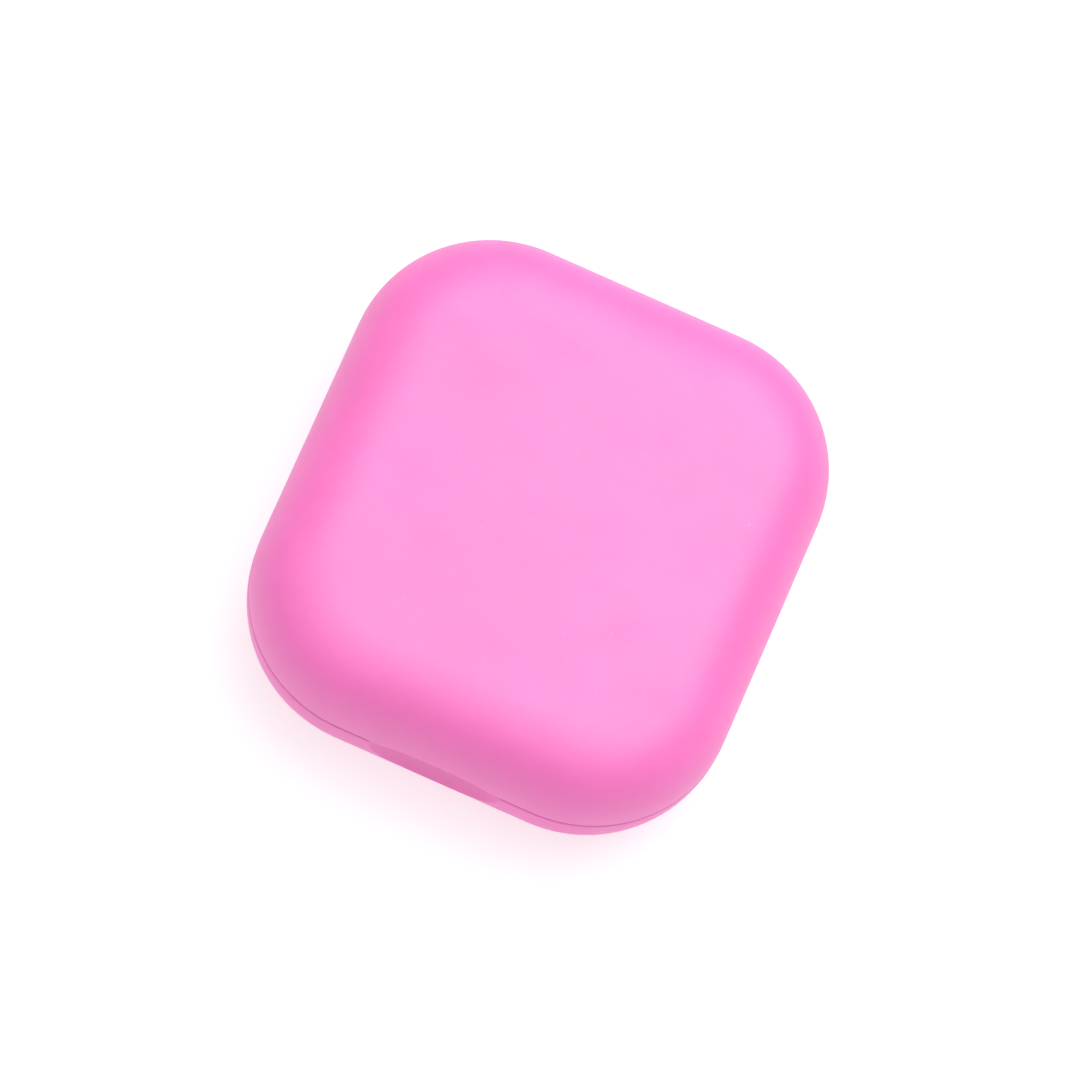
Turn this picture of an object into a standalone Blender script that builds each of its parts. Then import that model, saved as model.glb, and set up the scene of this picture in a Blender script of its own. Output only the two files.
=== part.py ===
"""Travel contact lens case: a hinged pillow-shaped box, its tray, a twin-well lens case and its accessories.

Units are metres. +Z is up, the thumb notch faces -Y and the hinge is at +Y.
The origin is at the bottom, in the middle of the case's bounding box.
"""

import math

import bmesh
import bpy
from mathutils import Matrix, Vector

# ---- Driving sizes: outer case ----
CASE_WIDTH = 0.0720
CASE_DEPTH = 0.0776
CASE_HEIGHT = 0.0262
SEAM_HEIGHT = 0.0135
CORNER_RADIUS = 0.0210
WALL = 0.0020
FLOOR = 0.0018
SEAM_GAP = 0.0003
RIM_CHAMFER = 0.0003
BASE_FILLET = 0.0068
BASE_FILLET_RISE = 0.0125
LID_FILLET = 0.0108
LID_FILLET_RISE = 0.0099
DOME_RISE = 0.0005
TONGUE_INSET = 0.0011
TONGUE_RISE = 0.0012

# ---- Clearances ----
GAP = 0.0003
PIECE_GAP = 0.0006
THREAD_GAP = 0.00035
PIN_GAP = 0.00015

# ---- Hinge ----
HINGE_INSET = 0.0012
KNUCKLE_RADIUS = 0.0022
KNUCKLE_WEB = 0.0024
WEB_ROOT = 0.0008
HINGE_LENGTH = 0.0340
KNUCKLE_COUNT = 5
PIN_RADIUS = 0.00075
PIN_INSET = 0.0006
RELIEF_GAP = 0.0004
RELIEF_RUNOUT = 0.0053
RELIEF_END_RADIUS = 0.0005

# ---- Thumb notch and snap tongue ----
NOTCH_WIDTH = 0.0154
NOTCH_DEPTH = 0.0028
NOTCH_DROP = 0.0085
NOTCH_BOSS_MARGIN = 0.0028
NOTCH_BOSS_FOOT = 0.0004
SNAP_WIDTH = 0.0080
SNAP_THICKNESS = 0.0011
SNAP_DROP = 0.0030
SNAP_ROOT = 0.0020

# ---- Tray ----
TRAY_WALL = 0.0012
TRAY_TOP = 0.0095
RIB = 0.0012
RIB_TOP = 0.0078
RIB_INSET = 0.0050
SADDLE_TOP = 0.0112
SADDLE_SPACING = 0.0220
BACK_MARGIN = 0.0038

# ---- Mirror ----
TAPE_THICKNESS = 0.0005
MIRROR_THICKNESS = 0.0012
MIRROR_CORNER = 0.0065
FRAME_WIDTH = 0.0040
FRAME_INSET = 0.0010
FRAME_PROUD = 0.0003

# ---- Lens case ----
LENS_CAP_RADIUS = 0.0140
LENS_CAP_SPACING = 0.0020
LENS_BASE_HEIGHT = 0.0050
LENS_NECK_HEIGHT = 0.0060
LENS_WELL_FLOOR = 0.0012
LENS_CUP_FILLET = 0.0042
LENS_CUP_RISE = 0.0044
LENS_NECK_WALL = 0.0016
LENS_BRIDGE_WIDTH = 0.0160
CAP_SKIRT = 0.0016
CAP_TOP = 0.0014
CAP_RIB_DEPTH = 0.00035
SEAL_THICKNESS = 0.0006
THREAD_PITCH = 0.0030
THREAD_RIDGE = 0.0006
THREAD_ROOT = 0.0013
THREAD_CREST = 0.0006

# ---- Tweezers ----
TWEEZER_SPAN = 0.0096
TWEEZER_HEIGHT = 0.0040
TWEEZER_BOW = 0.0006
ARM_ROOT = 0.0018
ARM_END = 0.0010
TAIL_RADIUS = 0.0030
TAIL_PIVOT = 0.0012
TIP_LENGTH = 0.0085
TIP_THICKNESS = 0.0028
TIP_WALL = 0.0005
TIP_ENGAGED = 0.0060
TIP_LIFT = 0.0001
SQUEEZE_ANGLE = math.radians(4.0)

# ---- Applicator ----
APPLICATOR_RADIUS = 0.0022
APPLICATOR_CUP_RADIUS = 0.0026
APPLICATOR_CUP_LENGTH = 0.0065
APPLICATOR_SPIGOT = 0.0012
APPLICATOR_SPIGOT_LENGTH = 0.0030

# ---- Bottle ----
BOTTLE_RADIUS = 0.0076
BOTTLE_WALL = 0.0010
BOTTLE_SHOULDER = 0.0030
BOTTLE_NECK_RADIUS = 0.0042
BOTTLE_BORE = 0.0030
BOTTLE_NECK_LENGTH = 0.0070
BOTTLE_CAP_SKIRT = 0.0010
BOTTLE_CAP_TOP = 0.0012
BOTTLE_PITCH = 0.0025
BOTTLE_RIDGE = 0.00045
BOTTLE_ROOT = 0.0010
BOTTLE_CREST = 0.0005
NOZZLE_FLANGE = 0.0006
NOZZLE_TIP = 0.0012
NOZZLE_HOLE = 0.0006
NOZZLE_PLUG = 0.0035
LINER_THICKNESS = 0.0008

# ---- Mesh fineness ----
CORNER_STEPS = 9
FILLET_STEPS = 6
DOME_SHARES = (0.8, 0.55, 0.3)
ROUND_STEPS = 32
CAP_STEPS = 48
THREAD_STEPS = 20
KNUCKLE_STEPS = 15
KNUCKLE_WRAP = 32
OVERLAP = 0.0004

# ---- Sizes that follow from the ones above ----
HALF_X = CASE_WIDTH / 2
HALF_Y = CASE_DEPTH / 2
BASE_RIM = SEAM_HEIGHT - SEAM_GAP / 2
LID_RIM = SEAM_HEIGHT + SEAM_GAP / 2
LID_CEILING = CASE_HEIGHT - WALL
HINGE_Y = HALF_Y - HINGE_INSET
RELIEF_RADIUS = KNUCKLE_RADIUS + RELIEF_GAP
# The barrel stands out behind the shells, so the body sits forward of the bounding box's middle.
BODY_Y = -(KNUCKLE_RADIUS - HINGE_INSET) / 2
TRAY_FLOOR = FLOOR + GAP + TRAY_WALL
REST = TRAY_FLOOR + GAP
INSIDE_INSET = WALL + GAP + TRAY_WALL
INSIDE_Y = HALF_Y - INSIDE_INSET

BOTTLE_Y = INSIDE_Y - BACK_MARGIN - BOTTLE_RADIUS
BOTTLE_Z = REST + BOTTLE_RADIUS
BACK_RIB_Y = BOTTLE_Y - BOTTLE_RADIUS - PIECE_GAP - RIB / 2
TWEEZER_Y = BACK_RIB_Y - RIB / 2 - PIECE_GAP - TWEEZER_SPAN / 2
MIDDLE_RIB_Y = TWEEZER_Y - TWEEZER_SPAN / 2 - PIECE_GAP - RIB / 2
APPLICATOR_Y = MIDDLE_RIB_Y - RIB / 2 - PIECE_GAP - APPLICATOR_CUP_RADIUS
APPLICATOR_Z = REST + APPLICATOR_CUP_RADIUS
FRONT_RIB_Y = APPLICATOR_Y - APPLICATOR_CUP_RADIUS - PIECE_GAP - RIB / 2
WELL_ROW_BACK = FRONT_RIB_Y - RIB / 2 - PIECE_GAP
WELL_ROW_ROOM = WELL_ROW_BACK + INSIDE_Y - PIECE_GAP
WELL_SIDE_ROOM = HALF_X - INSIDE_INSET - PIECE_GAP - LENS_CAP_SPACING / 2
CAP_RADIUS = min(LENS_CAP_RADIUS, WELL_ROW_ROOM / 2, WELL_SIDE_ROOM / 2)
WELL_X = CAP_RADIUS + LENS_CAP_SPACING / 2
WELL_Y = WELL_ROW_BACK - CAP_RADIUS
CAP_BORE = CAP_RADIUS - CAP_SKIRT
NECK_RADIUS = CAP_BORE - 2 * THREAD_GAP - THREAD_RIDGE
WELL_RADIUS = NECK_RADIUS - LENS_NECK_WALL
NECK_FOOT = REST + LENS_BASE_HEIGHT
NECK_TOP = NECK_FOOT + LENS_NECK_HEIGHT
SEAL_BOTTOM = NECK_TOP + GAP
CAP_CEILING = SEAL_BOTTOM + SEAL_THICKNESS + GAP

MIRROR_TOP = LID_CEILING - GAP - TAPE_THICKNESS - GAP
MIRROR_BOTTOM = MIRROR_TOP - MIRROR_THICKNESS
FRAME_HALF_X = HALF_X - LID_FILLET + FRAME_INSET
FRAME_HALF_Y = HALF_Y - LID_FILLET + FRAME_INSET
MIRROR_HALF_X = FRAME_HALF_X - FRAME_WIDTH - GAP
MIRROR_HALF_Y = FRAME_HALF_Y - FRAME_WIDTH - GAP

BOTTLE_CAP_BORE = BOTTLE_NECK_RADIUS + BOTTLE_RIDGE + THREAD_GAP
BOTTLE_CAP_RADIUS = BOTTLE_CAP_BORE + BOTTLE_CAP_SKIRT
NOZZLE_TOP = BOTTLE_NECK_LENGTH + GAP + NOZZLE_FLANGE + NOZZLE_TIP
BOTTLE_CAP_CEILING = NOZZLE_TOP + GAP + LINER_THICKNESS + GAP
BOTTLE_CAP_END = BOTTLE_CAP_CEILING + BOTTLE_CAP_TOP

# ---- Finishes: colour, roughness, metallic ----
PINK_PLASTIC = ("pink_plastic", (0.93, 0.36, 0.66), 0.38, 0.0)
TRAY_PLASTIC = ("tray_plastic", (0.95, 0.80, 0.88), 0.45, 0.0)
WHITE_PLASTIC = ("white_plastic", (0.92, 0.92, 0.93), 0.35, 0.0)
CAP_PINK = ("cap_pink", (0.90, 0.30, 0.58), 0.35, 0.0)
CLEAR_PINK = ("clear_pink", (0.96, 0.70, 0.84), 0.20, 0.0)
SILICONE = ("silicone", (0.88, 0.88, 0.90), 0.55, 0.0)
STEEL = ("steel", (0.62, 0.63, 0.65), 0.28, 1.0)
MIRROR_GLASS = ("mirror_glass", (0.90, 0.91, 0.92), 0.03, 1.0)
FOAM_TAPE = ("foam_tape", (0.86, 0.86, 0.82), 0.90, 0.0)
BOTTLE_PLASTIC = ("bottle_plastic", (0.93, 0.94, 0.96), 0.30, 0.0)


# ---------------------------------------------------------------- helpers
def clear_scene():
    """Remove every object that the scene starts with."""
    for thing in list(bpy.data.objects):
        bpy.data.objects.remove(thing, do_unlink=True)


def material(finish):
    """Return the Principled material of a finish, made on first use."""
    name, colour, roughness, metallic = finish
    if name in bpy.data.materials:
        return bpy.data.materials[name]
    made = bpy.data.materials.new(name)
    made.use_nodes = True
    shader = made.node_tree.nodes["Principled BSDF"]
    shader.inputs["Base Color"].default_value = (*colour, 1.0)
    shader.inputs["Roughness"].default_value = roughness
    shader.inputs["Metallic"].default_value = metallic
    made.diffuse_color = (*colour, 1.0)
    return made


def add_object(name, bm, finish=None, location=(0, 0, 0)):
    """Turn a bmesh into an object, with a material for a piece and none for a tool."""
    bmesh.ops.recalc_face_normals(bm, faces=bm.faces)
    mesh = bpy.data.meshes.new(name)
    bm.to_mesh(mesh)
    bm.free()
    thing = bpy.data.objects.new(name, mesh)
    thing.location = location
    bpy.context.scene.collection.objects.link(thing)
    if finish:
        mesh.materials.append(material(finish))
        mesh.shade_smooth()
        mesh.set_sharp_from_angle(angle=math.radians(32))
    return thing


def combine(target, tool, operation):
    """Add a Boolean to the target, and keep the tool out of the model."""
    modifier = target.modifiers.new(tool.name, "BOOLEAN")
    modifier.operation = operation
    modifier.object = tool
    tool.parent = target.parent
    tool.hide_render = True
    tool.display_type = "WIRE"


def ring(half_x, half_y, radius, z):
    """Points of a rounded rectangle at height z, counter-clockwise from above."""
    points = []
    corners = ((1, 1, 0), (-1, 1, 90), (-1, -1, 180), (1, -1, 270))
    for side_x, side_y, start in corners:
        centre_x = side_x * (half_x - radius)
        centre_y = side_y * (half_y - radius)
        for step in range(CORNER_STEPS + 1):
            angle = math.radians(start + 90 * step / CORNER_STEPS)
            points.append((centre_x + radius * math.cos(angle), centre_y + radius * math.sin(angle), z))
    return points


def case_ring(inset, z):
    """The case's outline, drawn in by inset."""
    return ring(HALF_X - inset, HALF_Y - inset, CORNER_RADIUS - inset, z)


def quarter(radial, rise):
    """(inset, drop) pairs along a quarter ellipse, from the wall to the flat."""
    pairs = []
    for step in range(FILLET_STEPS + 1):
        angle = math.pi / 2 * step / FILLET_STEPS
        pairs.append((radial * (1 - math.cos(angle)), rise * (1 - math.sin(angle))))
    return pairs


def loft(rings):
    """A closed bmesh through rings of equal point counts, capped at both ends."""
    bm = bmesh.new()
    loops = [[bm.verts.new(point) for point in points] for points in rings]
    count = len(loops[0])
    for lower, upper in zip(loops, loops[1:]):
        for i in range(count):
            j = (i + 1) % count
            bm.faces.new((lower[i], lower[j], upper[j], upper[i]))
    bm.faces.new(reversed(loops[0]))
    bm.faces.new(loops[-1])
    return bm


def box(low, high):
    """A bmesh box between two corners."""
    bm = bmesh.new()
    bmesh.ops.create_cube(bm, size=1.0)
    size = Vector(high) - Vector(low)
    middle = (Vector(high) + Vector(low)) / 2
    bmesh.ops.transform(bm, matrix=Matrix.Translation(middle) @ Matrix.Diagonal((*size, 1)), verts=bm.verts)
    return bm


def turned(profile, steps=ROUND_STEPS, closed=False):
    """A bmesh turned about Z from (radius, height) points; closed joins the last point to the first."""
    bm = bmesh.new()
    verts = [bm.verts.new((radius, 0, height)) for radius, height in profile]
    pairs = list(zip(verts, verts[1:]))
    if closed:
        pairs.append((verts[-1], verts[0]))
    edges = [bm.edges.new(pair) for pair in pairs]
    bmesh.ops.spin(
        bm,
        geom=verts + edges,
        cent=(0, 0, 0),
        axis=(0, 0, 1),
        angle=2 * math.pi,
        steps=steps,
        use_merge=True,
    )
    bmesh.ops.remove_doubles(bm, verts=bm.verts, dist=1e-6)
    return bm


def rod(radius, start, end, steps=ROUND_STEPS):
    """A plain turned rod from one height to another."""
    return turned([(0, start), (radius, start), (radius, end), (0, end)], steps)


def along_x(bm):
    """Turn a bmesh so that its own +Z points along +X."""
    bmesh.ops.transform(bm, matrix=Matrix.Rotation(math.pi / 2, 4, "Y"), verts=bm.verts)
    return bm


def outline_prism(outline, bottom, top):
    """A bmesh that extrudes a flat outline between two heights."""
    bm = bmesh.new()
    face = bm.faces.new([bm.verts.new((x, y, bottom)) for x, y in outline])
    grown = bmesh.ops.extrude_face_region(bm, geom=[face])
    moved = [item for item in grown["geom"] if isinstance(item, bmesh.types.BMVert)]
    bmesh.ops.translate(bm, vec=(0, 0, top - bottom), verts=moved)
    return bm


def side_prism(outline, left, right):
    """A bmesh that extrudes a (Y, Z) outline along X."""
    bm = bmesh.new()
    face = bm.faces.new([bm.verts.new((left, y, z)) for y, z in outline])
    grown = bmesh.ops.extrude_face_region(bm, geom=[face])
    moved = [item for item in grown["geom"] if isinstance(item, bmesh.types.BMVert)]
    bmesh.ops.translate(bm, vec=(right - left, 0, 0), verts=moved)
    return bm


def thread(root_radius, crest_radius, pitch, turns, start, start_turn, root_height, crest_height):
    """A right-hand helical ridge about Z. start is its height where the helix is at angle zero."""
    bm = bmesh.new()
    sections = []
    count = round(THREAD_STEPS * turns)
    for step in range(count + 1):
        turn = start_turn + turns * step / count
        height = start + pitch * turn
        angle = 2 * math.pi * turn
        corners = (
            (root_radius, -root_height / 2),
            (crest_radius, -crest_height / 2),
            (crest_radius, crest_height / 2),
            (root_radius, root_height / 2),
        )
        sections.append(
            [
                bm.verts.new((radius * math.cos(angle), radius * math.sin(angle), height + lift))
                for radius, lift in corners
            ]
        )
    for first, second in zip(sections, sections[1:]):
        for i in range(4):
            j = (i + 1) % 4
            bm.faces.new((first[i], first[j], second[j], second[i]))
    bm.faces.new(reversed(sections[0]))
    bm.faces.new(sections[-1])
    return bm


def fillet_inset(radial, rise, height):
    """How far a base fillet is drawn in, at a height above the flat that it starts from."""
    share = min(max(1 - height / rise, 0), 1)
    return radial * (1 - math.sqrt(1 - share**2))


def inside_half_width(y, z):
    """Half the width inside the tray, at a distance y from the case's middle and a height z."""
    inset = fillet_inset(BASE_FILLET - WALL, BASE_FILLET_RISE - FLOOR, z - TRAY_FLOOR)
    radius = CORNER_RADIUS - INSIDE_INSET - inset
    half_x = HALF_X - INSIDE_INSET - inset
    past = abs(y) - (INSIDE_Y - inset - radius)
    if past <= 0:
        return half_x
    return half_x - radius + math.sqrt(radius**2 - past**2)


# ---------------------------------------------------------------- outer case
def knuckle_spans(for_lid):
    """The lengths along X that the lid's or the base's knuckles cover."""
    pitch = HINGE_LENGTH / KNUCKLE_COUNT
    spans = []
    for index in range(KNUCKLE_COUNT):
        if (index % 2 == 1) == for_lid:
            start = -HINGE_LENGTH / 2 + index * pitch
            spans.append((start + GAP / 2, start + pitch - GAP / 2))
    return spans


def knuckle_outline(side):
    """A knuckle's (Y, Z) outline about the hinge axis: a round eye on a web that runs into the wall."""
    reach = RELIEF_RADIUS + WEB_ROOT
    outline = []
    for step in range(KNUCKLE_STEPS + 1):
        angle = math.radians(-KNUCKLE_WRAP + (180 + 2 * KNUCKLE_WRAP) * step / KNUCKLE_STEPS)
        outline.append((KNUCKLE_RADIUS * math.cos(angle), -side * KNUCKLE_RADIUS * math.sin(angle)))
    outline.append((HINGE_INSET - KNUCKLE_WEB, side * reach))
    outline.append((HINGE_INSET - RIM_CHAMFER, side * reach))
    return outline


def add_hinge(shell, for_lid):
    """Cut the relief for the other half's knuckles, and add this half's own."""
    half = HINGE_LENGTH / 2 + GAP
    relief = [(0, -half), (RELIEF_RADIUS, -half), (RELIEF_RADIUS, half), (0, half)]
    if for_lid:
        # Past the knuckles the lid's outline still stands behind the axis, so its relief runs out in cones.
        end = half + RELIEF_RUNOUT
        relief = [(0, -end), (RELIEF_END_RADIUS, -end)] + relief[1:3] + [(RELIEF_END_RADIUS, end), (0, end)]
    place = (0, HINGE_Y, SEAM_HEIGHT)
    cutter = along_x(turned(relief))
    combine(shell, add_object(f"{shell.name}_relief", cutter, location=place), "DIFFERENCE")
    for number, (start, end) in enumerate(knuckle_spans(for_lid)):
        knuckle = side_prism(knuckle_outline(1 if for_lid else -1), start, end)
        combine(shell, add_object(f"{shell.name}_knuckle_{number}", knuckle, location=place), "UNION")
    bore_end = HINGE_LENGTH / 2 + GAP
    bore = along_x(rod(PIN_RADIUS + PIN_GAP, -bore_end, bore_end, ROUND_STEPS // 2))
    combine(shell, add_object(f"{shell.name}_bore", bore, location=place), "DIFFERENCE")


def build_base(body):
    """The lower shell, with its locating tongue, thumb notch and knuckles."""
    outer = [case_ring(inset, drop) for inset, drop in reversed(quarter(BASE_FILLET, BASE_FILLET_RISE))]
    rim = [
        case_ring(0, BASE_RIM - RIM_CHAMFER),
        case_ring(RIM_CHAMFER, BASE_RIM),
        case_ring(TONGUE_INSET, BASE_RIM),
        case_ring(TONGUE_INSET, BASE_RIM + TONGUE_RISE),
        case_ring(WALL, BASE_RIM + TONGUE_RISE),
    ]
    inner_curve = quarter(BASE_FILLET - WALL, BASE_FILLET_RISE - FLOOR)
    inner = [case_ring(WALL + inset, FLOOR + drop) for inset, drop in inner_curve]
    shell = add_object("base_shell", loft(outer + rim + inner), PINK_PLASTIC)
    shell.parent = body

    boss_half = NOTCH_WIDTH / 2 + NOTCH_BOSS_MARGIN
    boss_foot = BASE_RIM - NOTCH_DROP - NOTCH_BOSS_FOOT
    boss_front = -HALF_Y + fillet_inset(BASE_FILLET, BASE_FILLET_RISE, boss_foot) + GAP
    boss = box((-boss_half, boss_front, boss_foot), (boss_half, boss_face(), BASE_RIM))
    bmesh.ops.bevel(
        boss,
        geom=[edge for edge in boss.edges if all(vert.co.y > -HALF_Y + WALL for vert in edge.verts)],
        offset=NOTCH_BOSS_MARGIN / 4,
        segments=2,
        affect="EDGES",
        profile=0.5,
    )
    combine(shell, add_object("base_notch_boss", boss), "UNION")

    scoop = bmesh.new()
    bmesh.ops.create_uvsphere(scoop, u_segments=24, v_segments=16, radius=1.0)
    size = Matrix.Diagonal((NOTCH_WIDTH / 2, NOTCH_DEPTH, NOTCH_DROP, 1))
    bmesh.ops.transform(scoop, matrix=size, verts=scoop.verts)
    combine(shell, add_object("base_notch_scoop", scoop, location=(0, -HALF_Y, BASE_RIM)), "DIFFERENCE")
    add_hinge(shell, for_lid=False)
    return shell


def boss_face():
    """Where the thickening behind the thumb notch ends, along Y."""
    return -HALF_Y + NOTCH_DEPTH + WALL


def build_lid(body):
    """The upper shell, with its domed top, snap tongue and knuckles."""
    rise = CASE_HEIGHT - DOME_RISE
    ceiling = quarter(LID_FILLET - WALL, LID_FILLET_RISE - WALL + DOME_RISE)
    inner = [case_ring(WALL + inset, LID_CEILING - drop) for inset, drop in reversed(ceiling)]
    step = BASE_RIM + TONGUE_RISE + GAP
    rim = [
        case_ring(WALL, step),
        case_ring(TONGUE_INSET - GAP, step),
        case_ring(TONGUE_INSET - GAP, LID_RIM),
        case_ring(RIM_CHAMFER, LID_RIM),
        case_ring(0, LID_RIM + RIM_CHAMFER),
    ]
    outer = [case_ring(inset, rise - drop) for inset, drop in quarter(LID_FILLET, LID_FILLET_RISE)]
    flat = case_ring(LID_FILLET, rise)
    dome = []
    for share in DOME_SHARES:
        height = rise + DOME_RISE * (1 - share**2) / (1 - DOME_SHARES[-1] ** 2)
        dome.append([(x * share, y * share, height) for x, y, _ in flat])
    shell = add_object("lid_shell", loft(inner + rim + outer + dome), PINK_PLASTIC)
    shell.parent = body
    face = boss_face() + GAP
    reach = face + SNAP_THICKNESS
    root = step + GAP
    low = SEAM_HEIGHT - SNAP_DROP
    back = -HALF_Y + WALL / 2
    top = root + SNAP_ROOT
    side_view = [(back, root), (face, root), (face, low), (reach, low), (reach, top), (back, top)]
    snap = side_prism(side_view, -SNAP_WIDTH / 2, SNAP_WIDTH / 2)
    combine(shell, add_object("lid_snap", snap), "UNION")
    add_hinge(shell, for_lid=True)
    return shell


def build_pin(body):
    """The hinge pin."""
    half = HINGE_LENGTH / 2 - PIN_INSET
    pin = along_x(rod(PIN_RADIUS, -half, half, ROUND_STEPS // 2))
    add_object("hinge_pin", pin, STEEL, (0, HINGE_Y, SEAM_HEIGHT)).parent = body


# ---------------------------------------------------------------- tray and mirror
def dish_rings(outline_inset, low):
    """Rings up one face of the tray, from its flat at the height low to the tray's rim."""
    radial = BASE_FILLET - WALL
    rise = BASE_FILLET_RISE - FLOOR
    curve = [pair for pair in reversed(quarter(radial, rise)) if low + pair[1] < TRAY_TOP - GAP]
    curve.append((fillet_inset(radial, rise, TRAY_TOP - low), TRAY_TOP - low))
    return [case_ring(outline_inset + inset, low + drop) for inset, drop in curve]


def build_tray(body):
    """The fitted tray: a low dish with ribs between the pieces and saddles for the bottle."""
    outer = dish_rings(WALL + GAP, FLOOR + GAP)
    inner = dish_rings(INSIDE_INSET, TRAY_FLOOR)
    tray = add_object("inner_tray", loft(outer + inner[::-1]), TRAY_PLASTIC)
    tray.parent = body
    sunk = TRAY_FLOOR - OVERLAP
    for number, y in enumerate((FRONT_RIB_Y, MIDDLE_RIB_Y, BACK_RIB_Y)):
        half = inside_half_width(y, TRAY_TOP) - RIB_INSET
        rib = box((-half, y - RIB / 2, sunk), (half, y + RIB / 2, RIB_TOP))
        combine(tray, add_object(f"tray_rib_{number}", rib), "UNION")
    for number, side in enumerate((-1, 1)):
        x = side * SADDLE_SPACING / 2
        low_corner = (x - RIB / 2, BACK_RIB_Y, sunk)
        saddle = box(low_corner, (x + RIB / 2, BOTTLE_Y + BOTTLE_RADIUS, SADDLE_TOP))
        combine(tray, add_object(f"tray_saddle_{number}", saddle), "UNION")
    half = SADDLE_SPACING / 2 + 2 * RIB
    seat = along_x(rod(BOTTLE_RADIUS + GAP, -half, half))
    combine(tray, add_object("tray_bottle_seat", seat, location=(0, BOTTLE_Y, BOTTLE_Z)), "DIFFERENCE")
    half = NOTCH_WIDTH / 2 + NOTCH_BOSS_MARGIN + GAP
    high = (half, boss_face() + 2 * GAP + SNAP_THICKNESS, TRAY_TOP + OVERLAP)
    relief = box((-half, -HALF_Y, 0), high)
    combine(tray, add_object("tray_notch_relief", relief), "DIFFERENCE")


def build_mirror(body):
    """The mirror, its adhesive pad and the trim ring round them."""
    half_x, half_y, corner = MIRROR_HALF_X, MIRROR_HALF_Y, MIRROR_CORNER
    glass = loft([ring(half_x, half_y, corner, z) for z in (MIRROR_BOTTOM, MIRROR_TOP)])
    add_object("mirror", glass, MIRROR_GLASS).parent = body
    margin = PIECE_GAP * 2
    pad_heights = (MIRROR_TOP + GAP, LID_CEILING - GAP)
    pad = loft([ring(half_x - margin, half_y - margin, corner - margin, z) for z in pad_heights])
    add_object("mirror_tape", pad, FOAM_TAPE).parent = body
    low = MIRROR_BOTTOM - FRAME_PROUD
    high = LID_CEILING - GAP
    hole = (half_x + GAP, half_y + GAP, corner + GAP)
    edge = (FRAME_HALF_X, FRAME_HALF_Y, corner + GAP + FRAME_WIDTH)
    frame = loft([ring(*edge, low), ring(*edge, high)])
    trim = add_object("mirror_frame", frame, TRAY_PLASTIC)
    trim.parent = body
    window = loft([ring(*hole, low - OVERLAP), ring(*hole, high + OVERLAP)])
    combine(trim, add_object("mirror_window", window), "DIFFERENCE")


# ---------------------------------------------------------------- lens case
def build_lens_case(body):
    """The twin-well case: two threaded cups on one flat bridge."""
    sides = (-1, 1)
    bridge_half = LENS_BRIDGE_WIDTH / 2
    bridge = box((-WELL_X, -bridge_half, REST + GAP), (WELL_X, bridge_half, NECK_FOOT - PIECE_GAP))
    case = add_object("lens_case_body", bridge, WHITE_PLASTIC, (0, WELL_Y, 0))
    case.parent = body
    well_floor = REST + LENS_WELL_FLOOR
    edge = RIM_CHAMFER
    for number, side in enumerate(sides):
        place = (side * WELL_X, WELL_Y, 0)
        curve = reversed(quarter(LENS_CUP_FILLET, LENS_CUP_RISE))
        cup = [(0, REST)]
        cup += [(CAP_RADIUS - inset, REST + drop) for inset, drop in curve]
        cup += [
            (CAP_RADIUS, NECK_FOOT - edge),
            (CAP_RADIUS - edge, NECK_FOOT),
            (NECK_RADIUS, NECK_FOOT),
            (NECK_RADIUS, NECK_TOP),
            (0, NECK_TOP),
        ]
        combine(case, add_object(f"lens_cup_{number}", turned(cup), location=place), "UNION")
        ridge = thread(
            NECK_RADIUS - OVERLAP,
            NECK_RADIUS + THREAD_RIDGE,
            THREAD_PITCH,
            1.0,
            NECK_FOOT + THREAD_PITCH * 0.5,
            0.0,
            THREAD_ROOT,
            THREAD_CREST,
        )
        combine(case, add_object(f"lens_thread_{number}", ridge, location=place), "UNION")
        depth = NECK_TOP - well_floor
        hollow = [(0, well_floor)]
        for step in range(1, FILLET_STEPS + 1):
            angle = math.pi / 2 * step / FILLET_STEPS
            radius = WELL_RADIUS * math.sin(angle)
            hollow.append((radius, well_floor + depth / 2 * (1 - math.cos(angle))))
        hollow += [(WELL_RADIUS, NECK_TOP + OVERLAP), (0, NECK_TOP + OVERLAP)]
        combine(case, add_object(f"lens_well_{number}", turned(hollow), location=place), "DIFFERENCE")


def build_lens_cap(body, side_name, side, finish):
    """One ribbed screw cap and its soft sealing disc."""
    skirt = NECK_FOOT + GAP
    top = CAP_CEILING + CAP_TOP
    edge = 2 * RIM_CHAMFER
    profile = [
        (0, CAP_CEILING),
        (CAP_BORE, CAP_CEILING),
        (CAP_BORE, skirt),
        (CAP_RADIUS, skirt),
        (CAP_RADIUS, top - edge),
        (CAP_RADIUS - edge, top),
        (0, top),
    ]
    bm = turned(profile, CAP_STEPS)
    for vert in bm.verts:
        radius = math.hypot(vert.co.x, vert.co.y)
        index = round(math.atan2(vert.co.y, vert.co.x) / (2 * math.pi) * CAP_STEPS)
        if radius > CAP_RADIUS - RIM_CHAMFER and index % 2:
            shrink = (radius - CAP_RIB_DEPTH) / radius
            vert.co.x *= shrink
            vert.co.y *= shrink
    place = (side * WELL_X, WELL_Y, 0)
    cap = add_object(f"lens_cap_{side_name}", bm, finish, place)
    cap.parent = body
    ridge = thread(
        CAP_BORE + OVERLAP,
        CAP_BORE - THREAD_RIDGE,
        THREAD_PITCH,
        0.8,
        NECK_FOOT,
        0.35,
        THREAD_ROOT,
        THREAD_CREST,
    )
    combine(cap, add_object(f"cap_thread_{side_name}", ridge, location=place), "UNION")
    seal = rod(CAP_BORE - THREAD_RIDGE - GAP, SEAL_BOTTOM, SEAL_BOTTOM + SEAL_THICKNESS)
    add_object(f"cap_seal_{side_name}", seal, SILICONE, place).parent = body


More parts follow.
